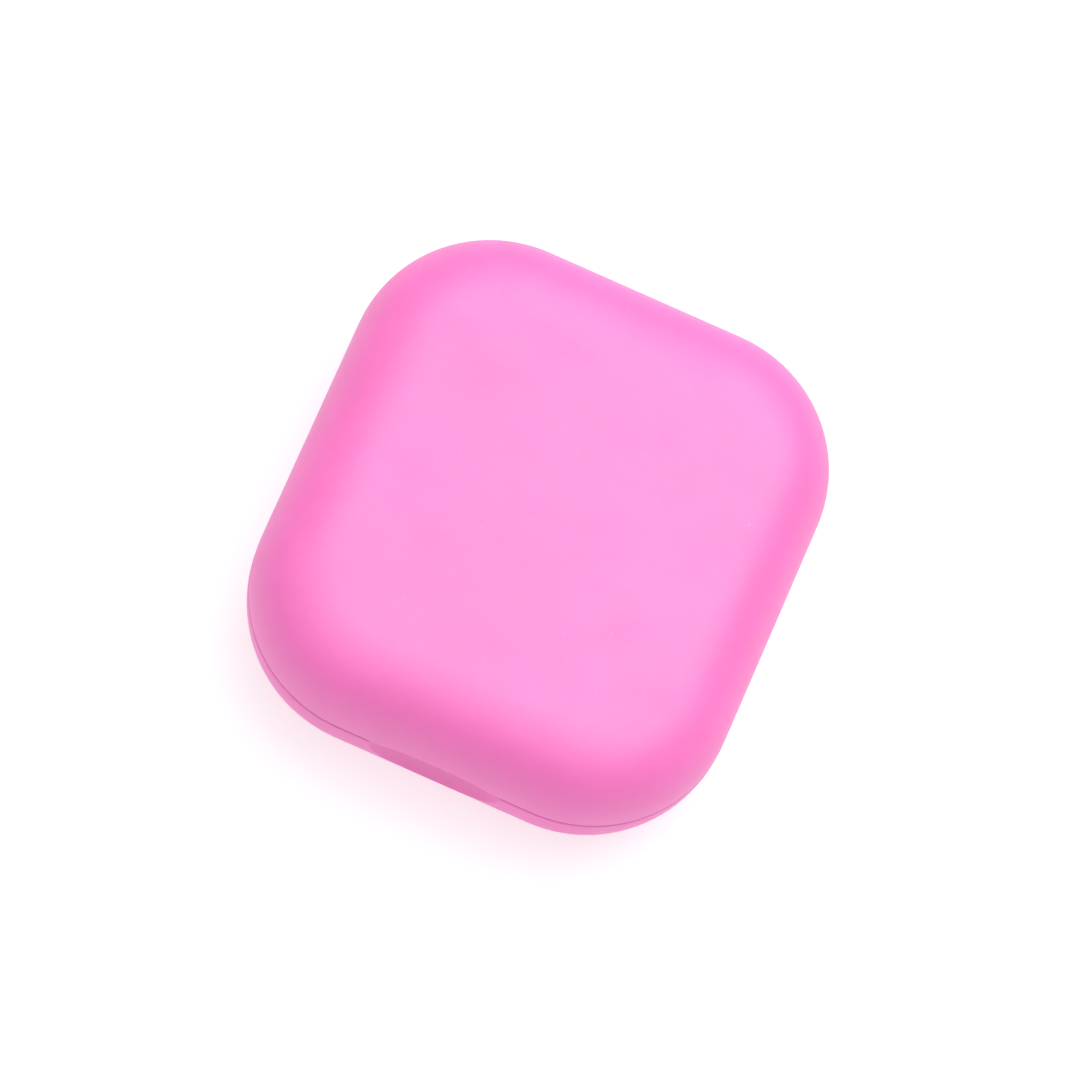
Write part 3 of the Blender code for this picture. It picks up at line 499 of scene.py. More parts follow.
class Form:
    """A mesh under construction."""

    def __init__(self, bm: bmesh.types.BMesh) -> None:
        """Wrap a bmesh."""
        self.bm = bm

    @classmethod
    def loft(cls, rings: Sequence[Sequence[Point]]) -> "Form":
        """Skin rings of equal point counts, and cap both ends.

        Args:
            rings: The rings, each a list of points in order.

        Returns:
            The closed form.
        """
        bm = bmesh.new()
        loops = [[bm.verts.new(point) for point in ring] for ring in rings]
        count = len(loops[0])
        for lower, upper in zip(loops, loops[1:]):
            for i in range(count):
                j = (i + 1) % count
                bm.faces.new((lower[i], lower[j], upper[j], upper[i]))
        bm.faces.new(reversed(loops[0]))
        bm.faces.new(loops[-1])
        return cls(bm)

    @classmethod
    def turned(cls, profile: Sequence[Point], closed: bool = False, steps: int = FINE.turn) -> "Form":
        """Turn a profile about Z.

        Args:
            profile: (radius, height) points.
            closed: Whether the last point joins the first.
            steps: How many steps the turn takes.

        Returns:
            The turned form.
        """
        bm = bmesh.new()
        verts = [bm.verts.new((radius, 0, height)) for radius, height in profile]
        pairs = list(zip(verts, verts[1:]))
        if closed:
            pairs.append((verts[-1], verts[0]))
        edges = [bm.edges.new(pair) for pair in pairs]
        turn = 2 * math.pi
        axis = (0, 0, 1)
        bmesh.ops.spin(
            bm, geom=verts + edges, cent=(0, 0, 0), axis=axis, angle=turn, steps=steps, use_merge=True
        )
        bmesh.ops.remove_doubles(bm, verts=bm.verts, dist=1e-6)
        return cls(bm)

    @classmethod
    def prism(cls, outline: Sequence[Point], start: float, end: float, along: str = "Z") -> "Form":
        """Extrude a flat outline.

        Args:
            outline: (X, Y) points for an extrusion along Z, or (Y, Z) points for one along X.
            start: Where the extrusion starts.
            end: Where it ends.
            along: The axis, X or Z.

        Returns:
            The extruded form.
        """
        bm = bmesh.new()
        if along == "X":
            verts = [bm.verts.new((start, a, b)) for a, b in outline]
            step = Vector((end - start, 0, 0))
        else:
            verts = [bm.verts.new((a, b, start)) for a, b in outline]
            step = Vector((0, 0, end - start))
        grown = bmesh.ops.extrude_face_region(bm, geom=[bm.faces.new(verts)])
        moved = [item for item in grown["geom"] if isinstance(item, bmesh.types.BMVert)]
        bmesh.ops.translate(bm, vec=step, verts=moved)
        return cls(bm)

    @classmethod
    def block(cls, low: Point, high: Point) -> "Form":
        """Make a box between its lowest and its highest corner."""
        outline = [(low[0], low[1]), (high[0], low[1]), (high[0], high[1]), (low[0], high[1])]
        return cls.prism(outline, low[2], high[2])

    @classmethod
    def ball(cls, radii: Point, steps: int = FINE.turn) -> "Form":
        """Make an ellipsoid about the origin.

        Args:
            radii: Its half size along each axis.
            steps: How many steps round its equator.

        Returns:
            The ellipsoid.
        """
        bm = bmesh.new()
        bmesh.ops.create_uvsphere(bm, u_segments=steps, v_segments=steps // 2, radius=1.0)
        bmesh.ops.transform(bm, matrix=Matrix.Diagonal((*radii, 1)), verts=bm.verts)
        return cls(bm)

    @classmethod
    def thread(
        cls, root: float, crest: float, pitch: float, turns: Point, start: float, widths: Point
    ) -> "Form":
        """Sweep a right-hand screw ridge about Z, with ends that fade into the wall.

        Args:
            root: The radius of its foot, inside the wall that carries it.
            crest: The radius of its top.
            pitch: Its rise in one turn.
            turns: Where it starts and how far it runs, in turns.
            start: Its height at turn zero.
            widths: Its width at the foot and at the crest.

        Returns:
            The ridge.
        """
        bm = bmesh.new()
        sections = []
        first, length = turns
        count = round(FINE.thread * length)
        for step in range(count + 1):
            share = step / count
            turn = first + length * share
            fade = min(1.0, share * 12, (1 - share) * 12)
            top = root + (crest - root) * (0.25 + 0.75 * math.sin(fade * math.pi / 2))
            angle = 2 * math.pi * turn
            height = start + pitch * turn
            corners = (
                (root, -widths[0] / 2),
                (root + (top - root) * 0.85, -widths[1] / 2 - (widths[0] - widths[1]) * 0.05),
                (top, -widths[1] / 4),
                (top, widths[1] / 4),
                (root + (top - root) * 0.85, widths[1] / 2 + (widths[0] - widths[1]) * 0.05),
                (root, widths[0] / 2),
            )
            section = [(r * math.cos(angle), r * math.sin(angle), height + lift) for r, lift in corners]
            sections.append([bm.verts.new(point) for point in section])
        sides = len(sections[0])
        for one, other in zip(sections, sections[1:]):
            for i in range(sides):
                j = (i + 1) % sides
                bm.faces.new((one[i], one[j], other[j], other[i]))
        bm.faces.new(reversed(sections[0]))
        bm.faces.new(sections[-1])
        return cls(bm)

    def rounded(self, width: float, keep: Callable[[bmesh.types.BMEdge], bool], segments: int = 3) -> "Form":
        """Round chosen edges.

        Args:
            width: The rounding's width.
            keep: Says which edges are rounded.
            segments: How many steps the rounding takes.

        Returns:
            The same form.
        """
        edges = [edge for edge in self.bm.edges if keep(edge)]
        bmesh.ops.bevel(
            self.bm,
            geom=edges,
            offset=width,
            segments=segments,
            affect="EDGES",
            profile=0.5,
            clamp_overlap=True,
        )
        return self

    def moved(self, matrix: Matrix) -> "Form":
        """Transform every point, and return the same form."""
        bmesh.ops.transform(self.bm, matrix=matrix, verts=self.bm.verts)
        return self

    def at(self, place: Point) -> "Form":
        """Shift the form, and return it."""
        return self.moved(Matrix.Translation(Vector(place)))

    def along_x(self) -> "Form":
        """Turn the form's own +Z to +X, and return it."""
        return self.moved(Matrix.Rotation(math.pi / 2, 4, "Y"))

    def mesh(self, name: str) -> bpy.types.Mesh:
        """Write the form to a mesh with its faces pointing out.

        Args:
            name: The mesh's name.

        Returns:
            The mesh.
        """
        bmesh.ops.recalc_face_normals(self.bm, faces=self.bm.faces)
        made = bpy.data.meshes.new(name)
        self.bm.to_mesh(made)
        self.bm.free()
        return made

    def combined(self, tool: "Form", cut: Cut) -> "Form":
        """Add or remove another form.

        Args:
            tool: The other form, which is used up.
            cut: Whether it is added or removed.

        Returns:
            A new form with the result.
        """
        pair = []
        for label, form in (("work", self), ("tool", tool)):
            thing = bpy.data.objects.new(label, form.mesh(label))
            bpy.context.scene.collection.objects.link(thing)
            pair.append(thing)
        work, other = pair
        modifier = work.modifiers.new("cut", "BOOLEAN")
        modifier.operation = cut.value
        modifier.solver = "EXACT"
        modifier.object = other
        graph = bpy.context.evaluated_depsgraph_get()
        result = bmesh.new()
        result.from_mesh(work.evaluated_get(graph).to_mesh())
        for thing in pair:
            data = thing.data
            bpy.data.objects.remove(thing, do_unlink=True)
            bpy.data.meshes.remove(data)
        bmesh.ops.remove_doubles(result, verts=result.verts, dist=1e-7)
        return Form(result)

    def plus(self, *tools: "Form") -> "Form":
        """Join tools to the form.

        Args:
            tools: The forms to join.

        Returns:
            The joined form.
        """
        made = self
        for tool in tools:
            made = made.combined(tool, Cut.ADD)
        return made

    def minus(self, *tools: "Form") -> "Form":
        """Cut tools out of the form.

        Args:
            tools: The forms to remove.

        Returns:
            The form that is left.
        """
        made = self
        for tool in tools:
            made = made.combined(tool, Cut.REMOVE)
        return made


def finished(
    name: str, form: Form, finish: Finish, node: str, body: Body, sharp: float = 35
) -> None:
    """Turn a form into a piece that stands for a CAD node.

    Args:
        name: The piece's name.
        form: Its shape.
        finish: Its finish.
        node: The CAD node that it stands for.
        body: The body that it rides on.
        sharp: Edges bent more than this many degrees stay sharp.
    """
    mesh = form.mesh(name)
    mesh.materials.append(PAINTS.of(finish))
    mesh.shade_smooth()
    mesh.set_sharp_from_angle(angle=math.radians(sharp))
    piece = bpy.data.objects.new(name, mesh)
    bpy.context.scene.collection.objects.link(piece)
    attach(piece, body.value)
    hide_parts(node)
    LOG.info("%s: %d faces on %s", name, len(mesh.polygons), body.value)


def quarter(radial: float, rise: float, steps: int, power: float = 2.0) -> list:
    """Walk a quarter of a superellipse from a wall to a flat.

    Args:
        radial: How far it reaches in.
        rise: How far it reaches up.
        steps: How many steps it takes.
        power: 2 for an ellipse, and more for a fuller corner.

    Returns:
        (inset, drop) pairs, with drop counted from the flat.
    """
    pairs = []
    for step in range(steps + 1):
        angle = math.pi / 2 * step / steps
        across = math.cos(angle) ** (2 / power) if step < steps else 0.0
        up = math.sin(angle) ** (2 / power)
        pairs.append((radial * (1 - across), rise * (1 - up)))
    return pairs


def softened(points: Sequence[Point], radius: float, steps: int = 4, closed: bool = False) -> list:
    """Round the corners of a flat line.

    Args:
        points: The line's corners.
        radius: How far from each corner its rounding starts.
        steps: How many steps a rounding takes.
        closed: Whether the last point joins the first.

    Returns:
        The rounded line's points.
    """
    corners = [Vector(point) for point in points]
    count = len(corners)
    inner = range(count) if closed else range(1, count - 1)
    made = [] if closed else [tuple(corners[0])]
    for index in inner:
        corner = corners[index]
        before = corners[index - 1] - corner
        after = corners[(index + 1) % count] - corner
        reach = min(radius, before.length * 0.45, after.length * 0.45)
        start, end = corner + before.normalized() * reach, corner + after.normalized() * reach
        for step in range(steps + 1):
            share = step / steps
            point = start * (1 - share) ** 2 + corner * (2 * share * (1 - share)) + end * share**2
            made.append(tuple(point))
    if not closed:
        made.append(tuple(corners[-1]))
    return made


@dataclass(frozen=True)
class Span:
    """A CAD node's box, read as sizes."""

    low: Vector
    high: Vector

    @classmethod
    def of(cls, node: str) -> "Span":
        """Return the box of a node."""
        low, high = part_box(node)
        return cls(low, high)

    @property
    def middle(self) -> Vector:
        """The box's middle."""
        return (self.low + self.high) / 2

    @property
    def size(self) -> Vector:
        """The box's sides."""
        return self.high - self.low


# ---------------------------------------------------------------- outer case
@dataclass
class CaseForm:
    """The sizes that the case's pieces share, read from the frame or set for the design."""

    corner: float = 0.0210
    wall: float = 0.0020
    floor: float = 0.0018
    gap: float = 0.0003
    piece_gap: float = 0.0006
    base_fillet: float = 0.0068
    base_rise: float = 0.0125
    lid_fillet: float = 0.0108
    lid_rise: float = 0.0099
    crown_fillet: float = 0.0130
    crown_rise: float = 0.0115
    crown_power: float = 2.5
    dome: float = 0.0005
    rim_round: float = 0.0003
    tongue_inset: float = 0.0011
    tongue_rise: float = 0.0012
    hinge_inset: float = 0.0012
    tray_wall: float = 0.0012
    tray_top: float = 0.0095
    half_x: float = field(init=False)
    half_y: float = field(init=False)
    middle_y: float = field(init=False)
    seam: float = field(init=False)
    top: float = field(init=False)
    hinge_y: float = field(init=False)

    def __post_init__(self) -> None:
        """Read the shared places from the frame's boxes."""
        low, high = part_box("lid_shell")
        pin_low, pin_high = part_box("hinge_pin")
        self.half_x = high.x
        self.top = high.z
        self.seam = (pin_low.z + pin_high.z) / 2
        self.hinge_y = (pin_low.y + pin_high.y) / 2
        back = self.hinge_y + self.hinge_inset
        self.middle_y = (low.y + back) / 2
        self.half_y = (back - low.y) / 2

    @property
    def base_rim(self) -> float:
        """The height of the base's rim."""
        return self.seam - self.gap / 2

    @property
    def lid_rim(self) -> float:
        """The height of the lid's rim."""
        return self.seam + self.gap / 2

    @property
    def tray_floor(self) -> float:
        """The height of the tray's floor."""
        return self.floor + self.gap + self.tray_wall

    @property
    def inside(self) -> float:
        """How far the tray's inner face is drawn in from the case's outline."""
        return self.wall + self.gap + self.tray_wall

    def base_inset(self, height: float, outside: bool = False) -> float:
        """How far the base's curve is drawn in, at a height above the flat that it starts from.

        Args:
            height: The height.
            outside: Whether it is the outer face's curve, and not the inner one's.

        Returns:
            The inset.
        """
        radial = self.base_fillet - (0 if outside else self.wall)
        rise = self.base_rise - (0 if outside else self.floor)
        share = min(max(1 - height / rise, 0), 1)
        return radial * (1 - math.sqrt(1 - share**2))

    def inside_half_width(self, y: float, z: float) -> float:
        """Half the width inside the tray.

        Args:
            y: The distance from the case's middle.
            z: The height.

        Returns:
            Half the width there.
        """
        inset = self.base_inset(z - self.tray_floor)
        radius = self.corner - self.inside - inset
        half_x = self.half_x - self.inside - inset
        past = abs(y) - (self.half_y - self.inside - inset - radius)
        return half_x if past <= 0 else half_x - radius + math.sqrt(radius**2 - past**2)

    def dish(self, outline_inset: float, low: float) -> list:
        """Return rings up one face of the tray, from its flat to its softened rim.

        Args:
            outline_inset: How far the face's outline is drawn in.
            low: The height of its flat.

        Returns:
            The rings, from the bottom up.
        """
        curve = quarter(self.base_fillet - self.wall, self.base_rise - self.floor, FINE.fillet)
        kept = [pair for pair in reversed(curve) if low + pair[1] < self.tray_top - self.gap]
        top = self.tray_top - low
        kept.append((self.base_inset(top), top))
        return [self.ring(outline_inset + inset, low + drop) for inset, drop in kept]

    def ring(self, inset: float, z: float) -> list:
        """Return the case's outline, drawn in by inset, at a height."""
        return self.rectangle(self.half_x - inset, self.half_y - inset, self.corner - inset, z)

    def rectangle(self, half_x: float, half_y: float, radius: float, z: float) -> list:
        """Walk a rounded rectangle about the case's middle, counter-clockwise from above.

        Args:
            half_x: Half its width.
            half_y: Half its depth.
            radius: Its corners' radius.
            z: Its height.

        Returns:
            The points.
        """
        points = []
        for side_x, side_y, start in ((1, 1, 0), (-1, 1, 90), (-1, -1, 180), (1, -1, 270)):
            centre_x = side_x * (half_x - radius)
            centre_y = self.middle_y + side_y * (half_y - radius)
            for step in range(FINE.corner + 1):
                angle = math.radians(start + 90 * step / FINE.corner)
                points.append((centre_x + radius * math.cos(angle), centre_y + radius * math.sin(angle), z))
        return points


@dataclass
class Hinge:
    """The knuckles and pin at the back."""

    case: CaseForm
    length: float = 0.0340
    radius: float = 0.0022
    relief: float = 0.0026
    relief_runout: float = 0.0053
    relief_end: float = 0.0005
    web: float = 0.0024
    web_root: float = 0.0008
    bore: float = 0.0009
    count: int = 5
    wrap: float = 32.0
    steps: int = 40

    @property
    def axis(self) -> tuple:
        """A point on the hinge's axis."""
        return (0, self.case.hinge_y, self.case.seam)

    def rod(self, radius: float, half: float, runout: float = 0.0) -> Form:
        """Make a rod on the hinge's axis.

        Args:
            radius: Its radius.
            half: Half its length.
            runout: How far a cone runs on past each end, or 0 for none.

        Returns:
            The rod.
        """
        profile = [(radius, -half), (radius, half)]
        if runout:
            end = half + runout
            profile = [(self.relief_end, -end)] + profile + [(self.relief_end, end)]
        profile = [(0, profile[0][1])] + profile + [(0, profile[-1][1])]
        return Form.turned(profile, steps=self.steps).along_x().at(self.axis)

    def knuckles(self, for_lid: bool) -> list:
        """Make one half's knuckles.

        Args:
            for_lid: Whether they are the lid's.

        Returns:
            One form for each knuckle.
        """
        pitch = self.length / self.count
        side = 1 if for_lid else -1
        outline = []
        for step in range(self.steps + 1):
            angle = math.radians(-self.wrap + (180 + 2 * self.wrap) * step / self.steps)
            outline.append((self.radius * math.cos(angle), -side * self.radius * math.sin(angle)))
        outline.append((self.case.hinge_inset - self.web, side * (self.relief + self.web_root)))
        outline.append((self.case.hinge_inset - self.case.rim_round, side * (self.relief + self.web_root)))
        made = []
        for index in range(self.count):
            if (index % 2 == 1) == for_lid:
                start = -self.length / 2 + index * pitch + self.case.gap / 2
                made.append(Form.prism(outline, start, start + pitch - self.case.gap, "X").at(self.axis))
        return made

    def fitted(self, shell: Form, for_lid: bool) -> Form:
        """Cut the relief into a shell, and add its knuckles and bore.

        Args:
            shell: The shell's form.
            for_lid: Whether it is the lid.

        Returns:
            The shell with its half of the hinge.
        """
        reach = self.length / 2 + self.case.gap
        opened = shell.minus(self.rod(self.relief, reach, self.relief_runout if for_lid else 0.0))
        return opened.plus(*self.knuckles(for_lid)).minus(self.rod(self.bore, reach + self.case.gap))

    def build_pin(self) -> None:
        """Make the pin, with its cut ends chamfered."""
        low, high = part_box("hinge_pin")
        half, radius = high.x, (high.z - low.z) / 2
        edge = radius * 0.25
        profile = [(0, -half), (radius - edge, -half), (radius, edge - half)]
        profile += [(radius, half - edge), (radius - edge, half), (0, half)]
        pin = Form.turned(profile, steps=self.steps).along_x().at(self.axis)
        finished("HingePin", pin, PIN_STEEL, "hinge_pin", Body.BASE)


@dataclass
class OuterCase:
    """The two pink shells, with the thumb notch and the snap."""

    case: CaseForm
    hinge: Hinge
    notch_width: float = 0.0154
    notch_depth: float = 0.0028
    notch_drop: float = 0.0085
    scoop_radii: tuple = (0.0115, 0.0048, 0.0090)
    scoop_stand_off: float = 0.0022
    lip_relief: tuple = (0.0085, 0.0006, 0.0016)
    boss_margin: float = 0.0028
    boss_foot: float = 0.0004
    lip_round: float = 0.00022
    snap_width: float = 0.0080
    snap_thickness: float = 0.0011
    snap_drop: float = 0.0030
    snap_root: float = 0.0020

    @property
    def front(self) -> float:
        """The case's front face, along Y."""
        return self.case.middle_y - self.case.half_y

    @property
    def boss_face(self) -> float:
        """The rear face of the thickening behind the notch, along Y."""
        return self.front + self.notch_depth + self.case.wall

    def build(self) -> None:
        """Make both shells."""
        self.build_base()
        self.build_lid()

    def rim_curve(self, towards: int) -> list:
        """Return (inset, height) pairs that round the outer edge of a rim facing up (1) or down (-1)."""
        radius = self.case.rim_round
        return [(inset, -towards * drop) for inset, drop in quarter(radius, radius, FINE.edge)]

    def build_base(self) -> None:
        """Make the lower shell."""
        case = self.case
        curve = quarter(case.base_fillet, case.base_rise, FINE.fillet)
        outer = [case.ring(inset, drop) for inset, drop in reversed(curve)]
        rim = [case.ring(inset, case.base_rim + lift) for inset, lift in self.rim_curve(1)]
        tongue_top = case.base_rim + case.tongue_rise
        soft = self.lip_round
        rim += [
            case.ring(case.tongue_inset, case.base_rim),
            case.ring(case.tongue_inset, tongue_top - soft),
            case.ring(case.tongue_inset + soft, tongue_top),
            case.ring(case.wall - soft, tongue_top),
            case.ring(case.wall, tongue_top - soft),
        ]
        within = quarter(case.base_fillet - case.wall, case.base_rise - case.floor, FINE.fillet)
        inner = [case.ring(case.wall + inset, case.floor + drop) for inset, drop in within]
        shell = Form.loft(outer + rim + inner)

        half = self.notch_width / 2 + self.boss_margin
        foot = case.base_rim - self.notch_drop - self.boss_foot
        front = self.front + case.base_inset(foot, outside=True) + case.gap
        boss = Form.block((-half, front, foot), (half, self.boss_face, case.base_rim))
        inward = self.front + case.wall
        boss.rounded(0.0007, lambda edge: all(vert.co.y > inward for vert in edge.verts))
        scoop = Form.ball(self.scoop_radii).at((0, self.front - self.scoop_stand_off, case.base_rim))
        shell = self.hinge.fitted(shell.plus(boss).minus(scoop), False)
        finished("BaseShell", shell, PINK_SHELL, "base_shell", Body.BASE)

    def build_lid(self) -> None:
        """Make the upper shell."""
        case = self.case
        shoulder = case.top - case.dome
        ceiling = case.top - case.wall
        within = quarter(case.lid_fillet - case.wall, case.lid_rise - case.wall + case.dome, FINE.fillet)
        inner = [case.ring(case.wall + inset, ceiling - drop) for inset, drop in reversed(within)]
        step = case.base_rim + case.tongue_rise + case.gap
        skirt = case.tongue_inset - case.gap
        rim = [case.ring(case.wall, step), case.ring(skirt, step), case.ring(skirt, case.lid_rim)]
        rim += [case.ring(inset, case.lid_rim + lift) for inset, lift in reversed(self.rim_curve(-1))]
        curve = quarter(case.crown_fillet, case.crown_rise, 2 * FINE.fillet, case.crown_power)
        outer = [case.ring(inset, shoulder - drop) for inset, drop in curve]
        flat = case.ring(case.crown_fillet, shoulder)
        shares = [1 - (count + 1) / (FINE.fillet + 1) for count in range(FINE.fillet)]
        crown = []
        for share in shares:
            height = shoulder + case.dome * (1 - share**2) / (1 - shares[-1] ** 2)
            middle = case.middle_y
            crown.append([(x * share, middle + (y - middle) * share, height) for x, y, _ in flat])
        shell = Form.loft(inner + rim + outer + crown)

        root = step + case.gap
        low = case.seam - self.snap_drop
        back = self.front + case.wall / 2
        face = self.boss_face + case.gap
        reach = face + self.snap_thickness
        top = root + self.snap_root
        side_view = [(back, root), (face, root), (face, low), (reach, low), (reach, top), (back, top)]
        snap = Form.prism(side_view, -self.snap_width / 2, self.snap_width / 2, "X")
        snap.rounded(self.lip_round, lambda edge: all(vert.co.z < root - case.gap for vert in edge.verts))
        relief = Form.ball(self.lip_relief).at((0, self.front, case.lid_rim))
        shell = self.hinge.fitted(shell.plus(snap).minus(relief), True)
        finished("LidShell", shell, PINK_SHELL, "lid_shell", Body.LID)


# ---------------------------------------------------------------- tray and mirror
@dataclass
class Tray:
    """The fitted tray with its ribs and the bottle's saddles."""

    case: CaseForm
    outer: OuterCase
    rib: float = 0.0012
    rib_top: float = 0.0078
    rib_inset: float = 0.0050
    saddle_top: float = 0.0112
    saddle_spacing: float = 0.0220
    sunk: float = 0.0004
    edge: float = 0.0003

    def rib_places(self) -> tuple:
        """Find where the ribs stand.

        Returns:
            Where each rib's middle lies along Y, from the front to the back.
        """
        margin = self.case.piece_gap + self.rib / 2
        cup = Span.of("applicator_cup")
        return cup.low.y - margin, cup.high.y + margin, Span.of("bottle_body").low.y - margin

    def wall(self, low: Point, high: Point) -> Form:
        """Make a wall that stands on the floor, with its upper edges rounded.

        Args:
            low: Its lowest corner.
            high: Its highest corner.

        Returns:
            The wall.
        """
        top = high[2]
        block = Form.block(low, high)
        return block.rounded(self.edge, lambda edge: all(vert.co.z > top - self.sunk for vert in edge.verts))

    def build(self) -> None:
        """Make the tray."""
        case = self.case
        outer = case.dish(case.wall + case.gap, case.floor + case.gap)
        inner = case.dish(case.inside, case.tray_floor)
        tray = Form.loft(outer + inner[::-1])
        start = case.tray_floor - self.sunk
        walls = []
        for y in self.rib_places():
            half = case.inside_half_width(y - case.middle_y, case.tray_top) - self.rib_inset
            walls.append(self.wall((-half, y - self.rib / 2, start), (half, y + self.rib / 2, self.rib_top)))
        bottle = Span.of("bottle_body")
        back_rib = self.rib_places()[-1]
        for side in (-1, 1):
            x = side * self.saddle_spacing / 2
            low = (x - self.rib / 2, back_rib, start)
            high = (x + self.rib / 2, bottle.middle.y + bottle.size.y / 2, self.saddle_top)
            walls.append(self.wall(low, high))
        reach = self.saddle_spacing / 2 + 2 * self.rib
        seat_radius = bottle.size.y / 2 + case.gap
        seat = Form.turned([(0, -reach), (seat_radius, -reach), (seat_radius, reach), (0, reach)]).along_x()
        seat.at((0, bottle.middle.y, bottle.middle.z))
        half = self.outer.notch_width / 2 + self.outer.boss_margin + case.gap
        back = self.outer.boss_face + 2 * case.gap + self.outer.snap_thickness
        relief = Form.block((-half, self.outer.front, 0), (half, back, case.tray_top + self.sunk))
        tray = tray.plus(*walls).minus(seat, relief)
        finished("FittedTray", tray, PALE_TRAY, "inner_tray", Body.BASE)


@dataclass
class MirrorInsert:
    """The mirror, the pad behind it and the trim ring round them."""

    case: CaseForm
    corner: float = 0.0065
    width: float = 0.0040
    ground: float = 0.0004
    edge: float = 0.0005

    def plate(self, span: Span, corner: float, soft: float) -> Form:
        """Return a rounded plate with softened edges.

        Args:
            span: The box that it fills.
            corner: Its corners' radius.
            soft: How far its edges are softened.

        Returns:
            The plate.
        """
        half_x, half_y = span.size.x / 2, span.size.y / 2
        curve = quarter(soft, soft, FINE.edge)
        levels = [(inset, span.low.z + drop) for inset, drop in reversed(curve)]
        levels += [(inset, span.high.z - drop) for inset, drop in curve]
        rings = []
        for inset, z in levels:
            rings.append(self.case.rectangle(half_x - inset, half_y - inset, corner - inset, z))
        return Form.loft(rings)

    def build(self) -> None:
        """Make the three pieces."""
        glass, pad, trim = Span.of("mirror"), Span.of("mirror_tape"), Span.of("mirror_frame")
        face = self.plate(glass, self.corner, self.ground)
        finished("MirrorGlass", face, MIRROR_FACE, "mirror", Body.LID, sharp=20)
        backing = self.plate(pad, self.corner - 2 * self.case.piece_gap, self.ground / 4)
        finished("MirrorPad", backing, FOAM_PAD, "mirror_tape", Body.LID)
        radius = self.corner + self.case.gap
        ring = self.plate(trim, radius + self.width, self.edge)
        hole_x, hole_y = glass.size.x / 2 + self.case.gap, glass.size.y / 2 + self.case.gap
        steps = [(self.edge, trim.low.z - self.case.gap), (self.edge, trim.low.z)]
        steps += [(inset, trim.low.z + self.edge - drop) for inset, drop in self.flare()]
        steps += [(0, trim.high.z + self.case.gap)]
        window = [self.case.rectangle(hole_x + out, hole_y + out, radius + out, z) for out, z in steps]
        made = ring.minus(Form.loft(window))
        finished("MirrorTrim", made, PALE_TRAY, "mirror_frame", Body.LID)

    def flare(self) -> list:
        """Round the inner lip.

        Returns:
            (outset, drop) pairs, from its face inwards.
        """
        pairs = []
        for step in range(1, FINE.edge + 1):
            angle = math.pi / 2 * step / FINE.edge
            pairs.append((self.edge * (1 - math.sin(angle)), self.edge * math.cos(angle)))
        return pairs


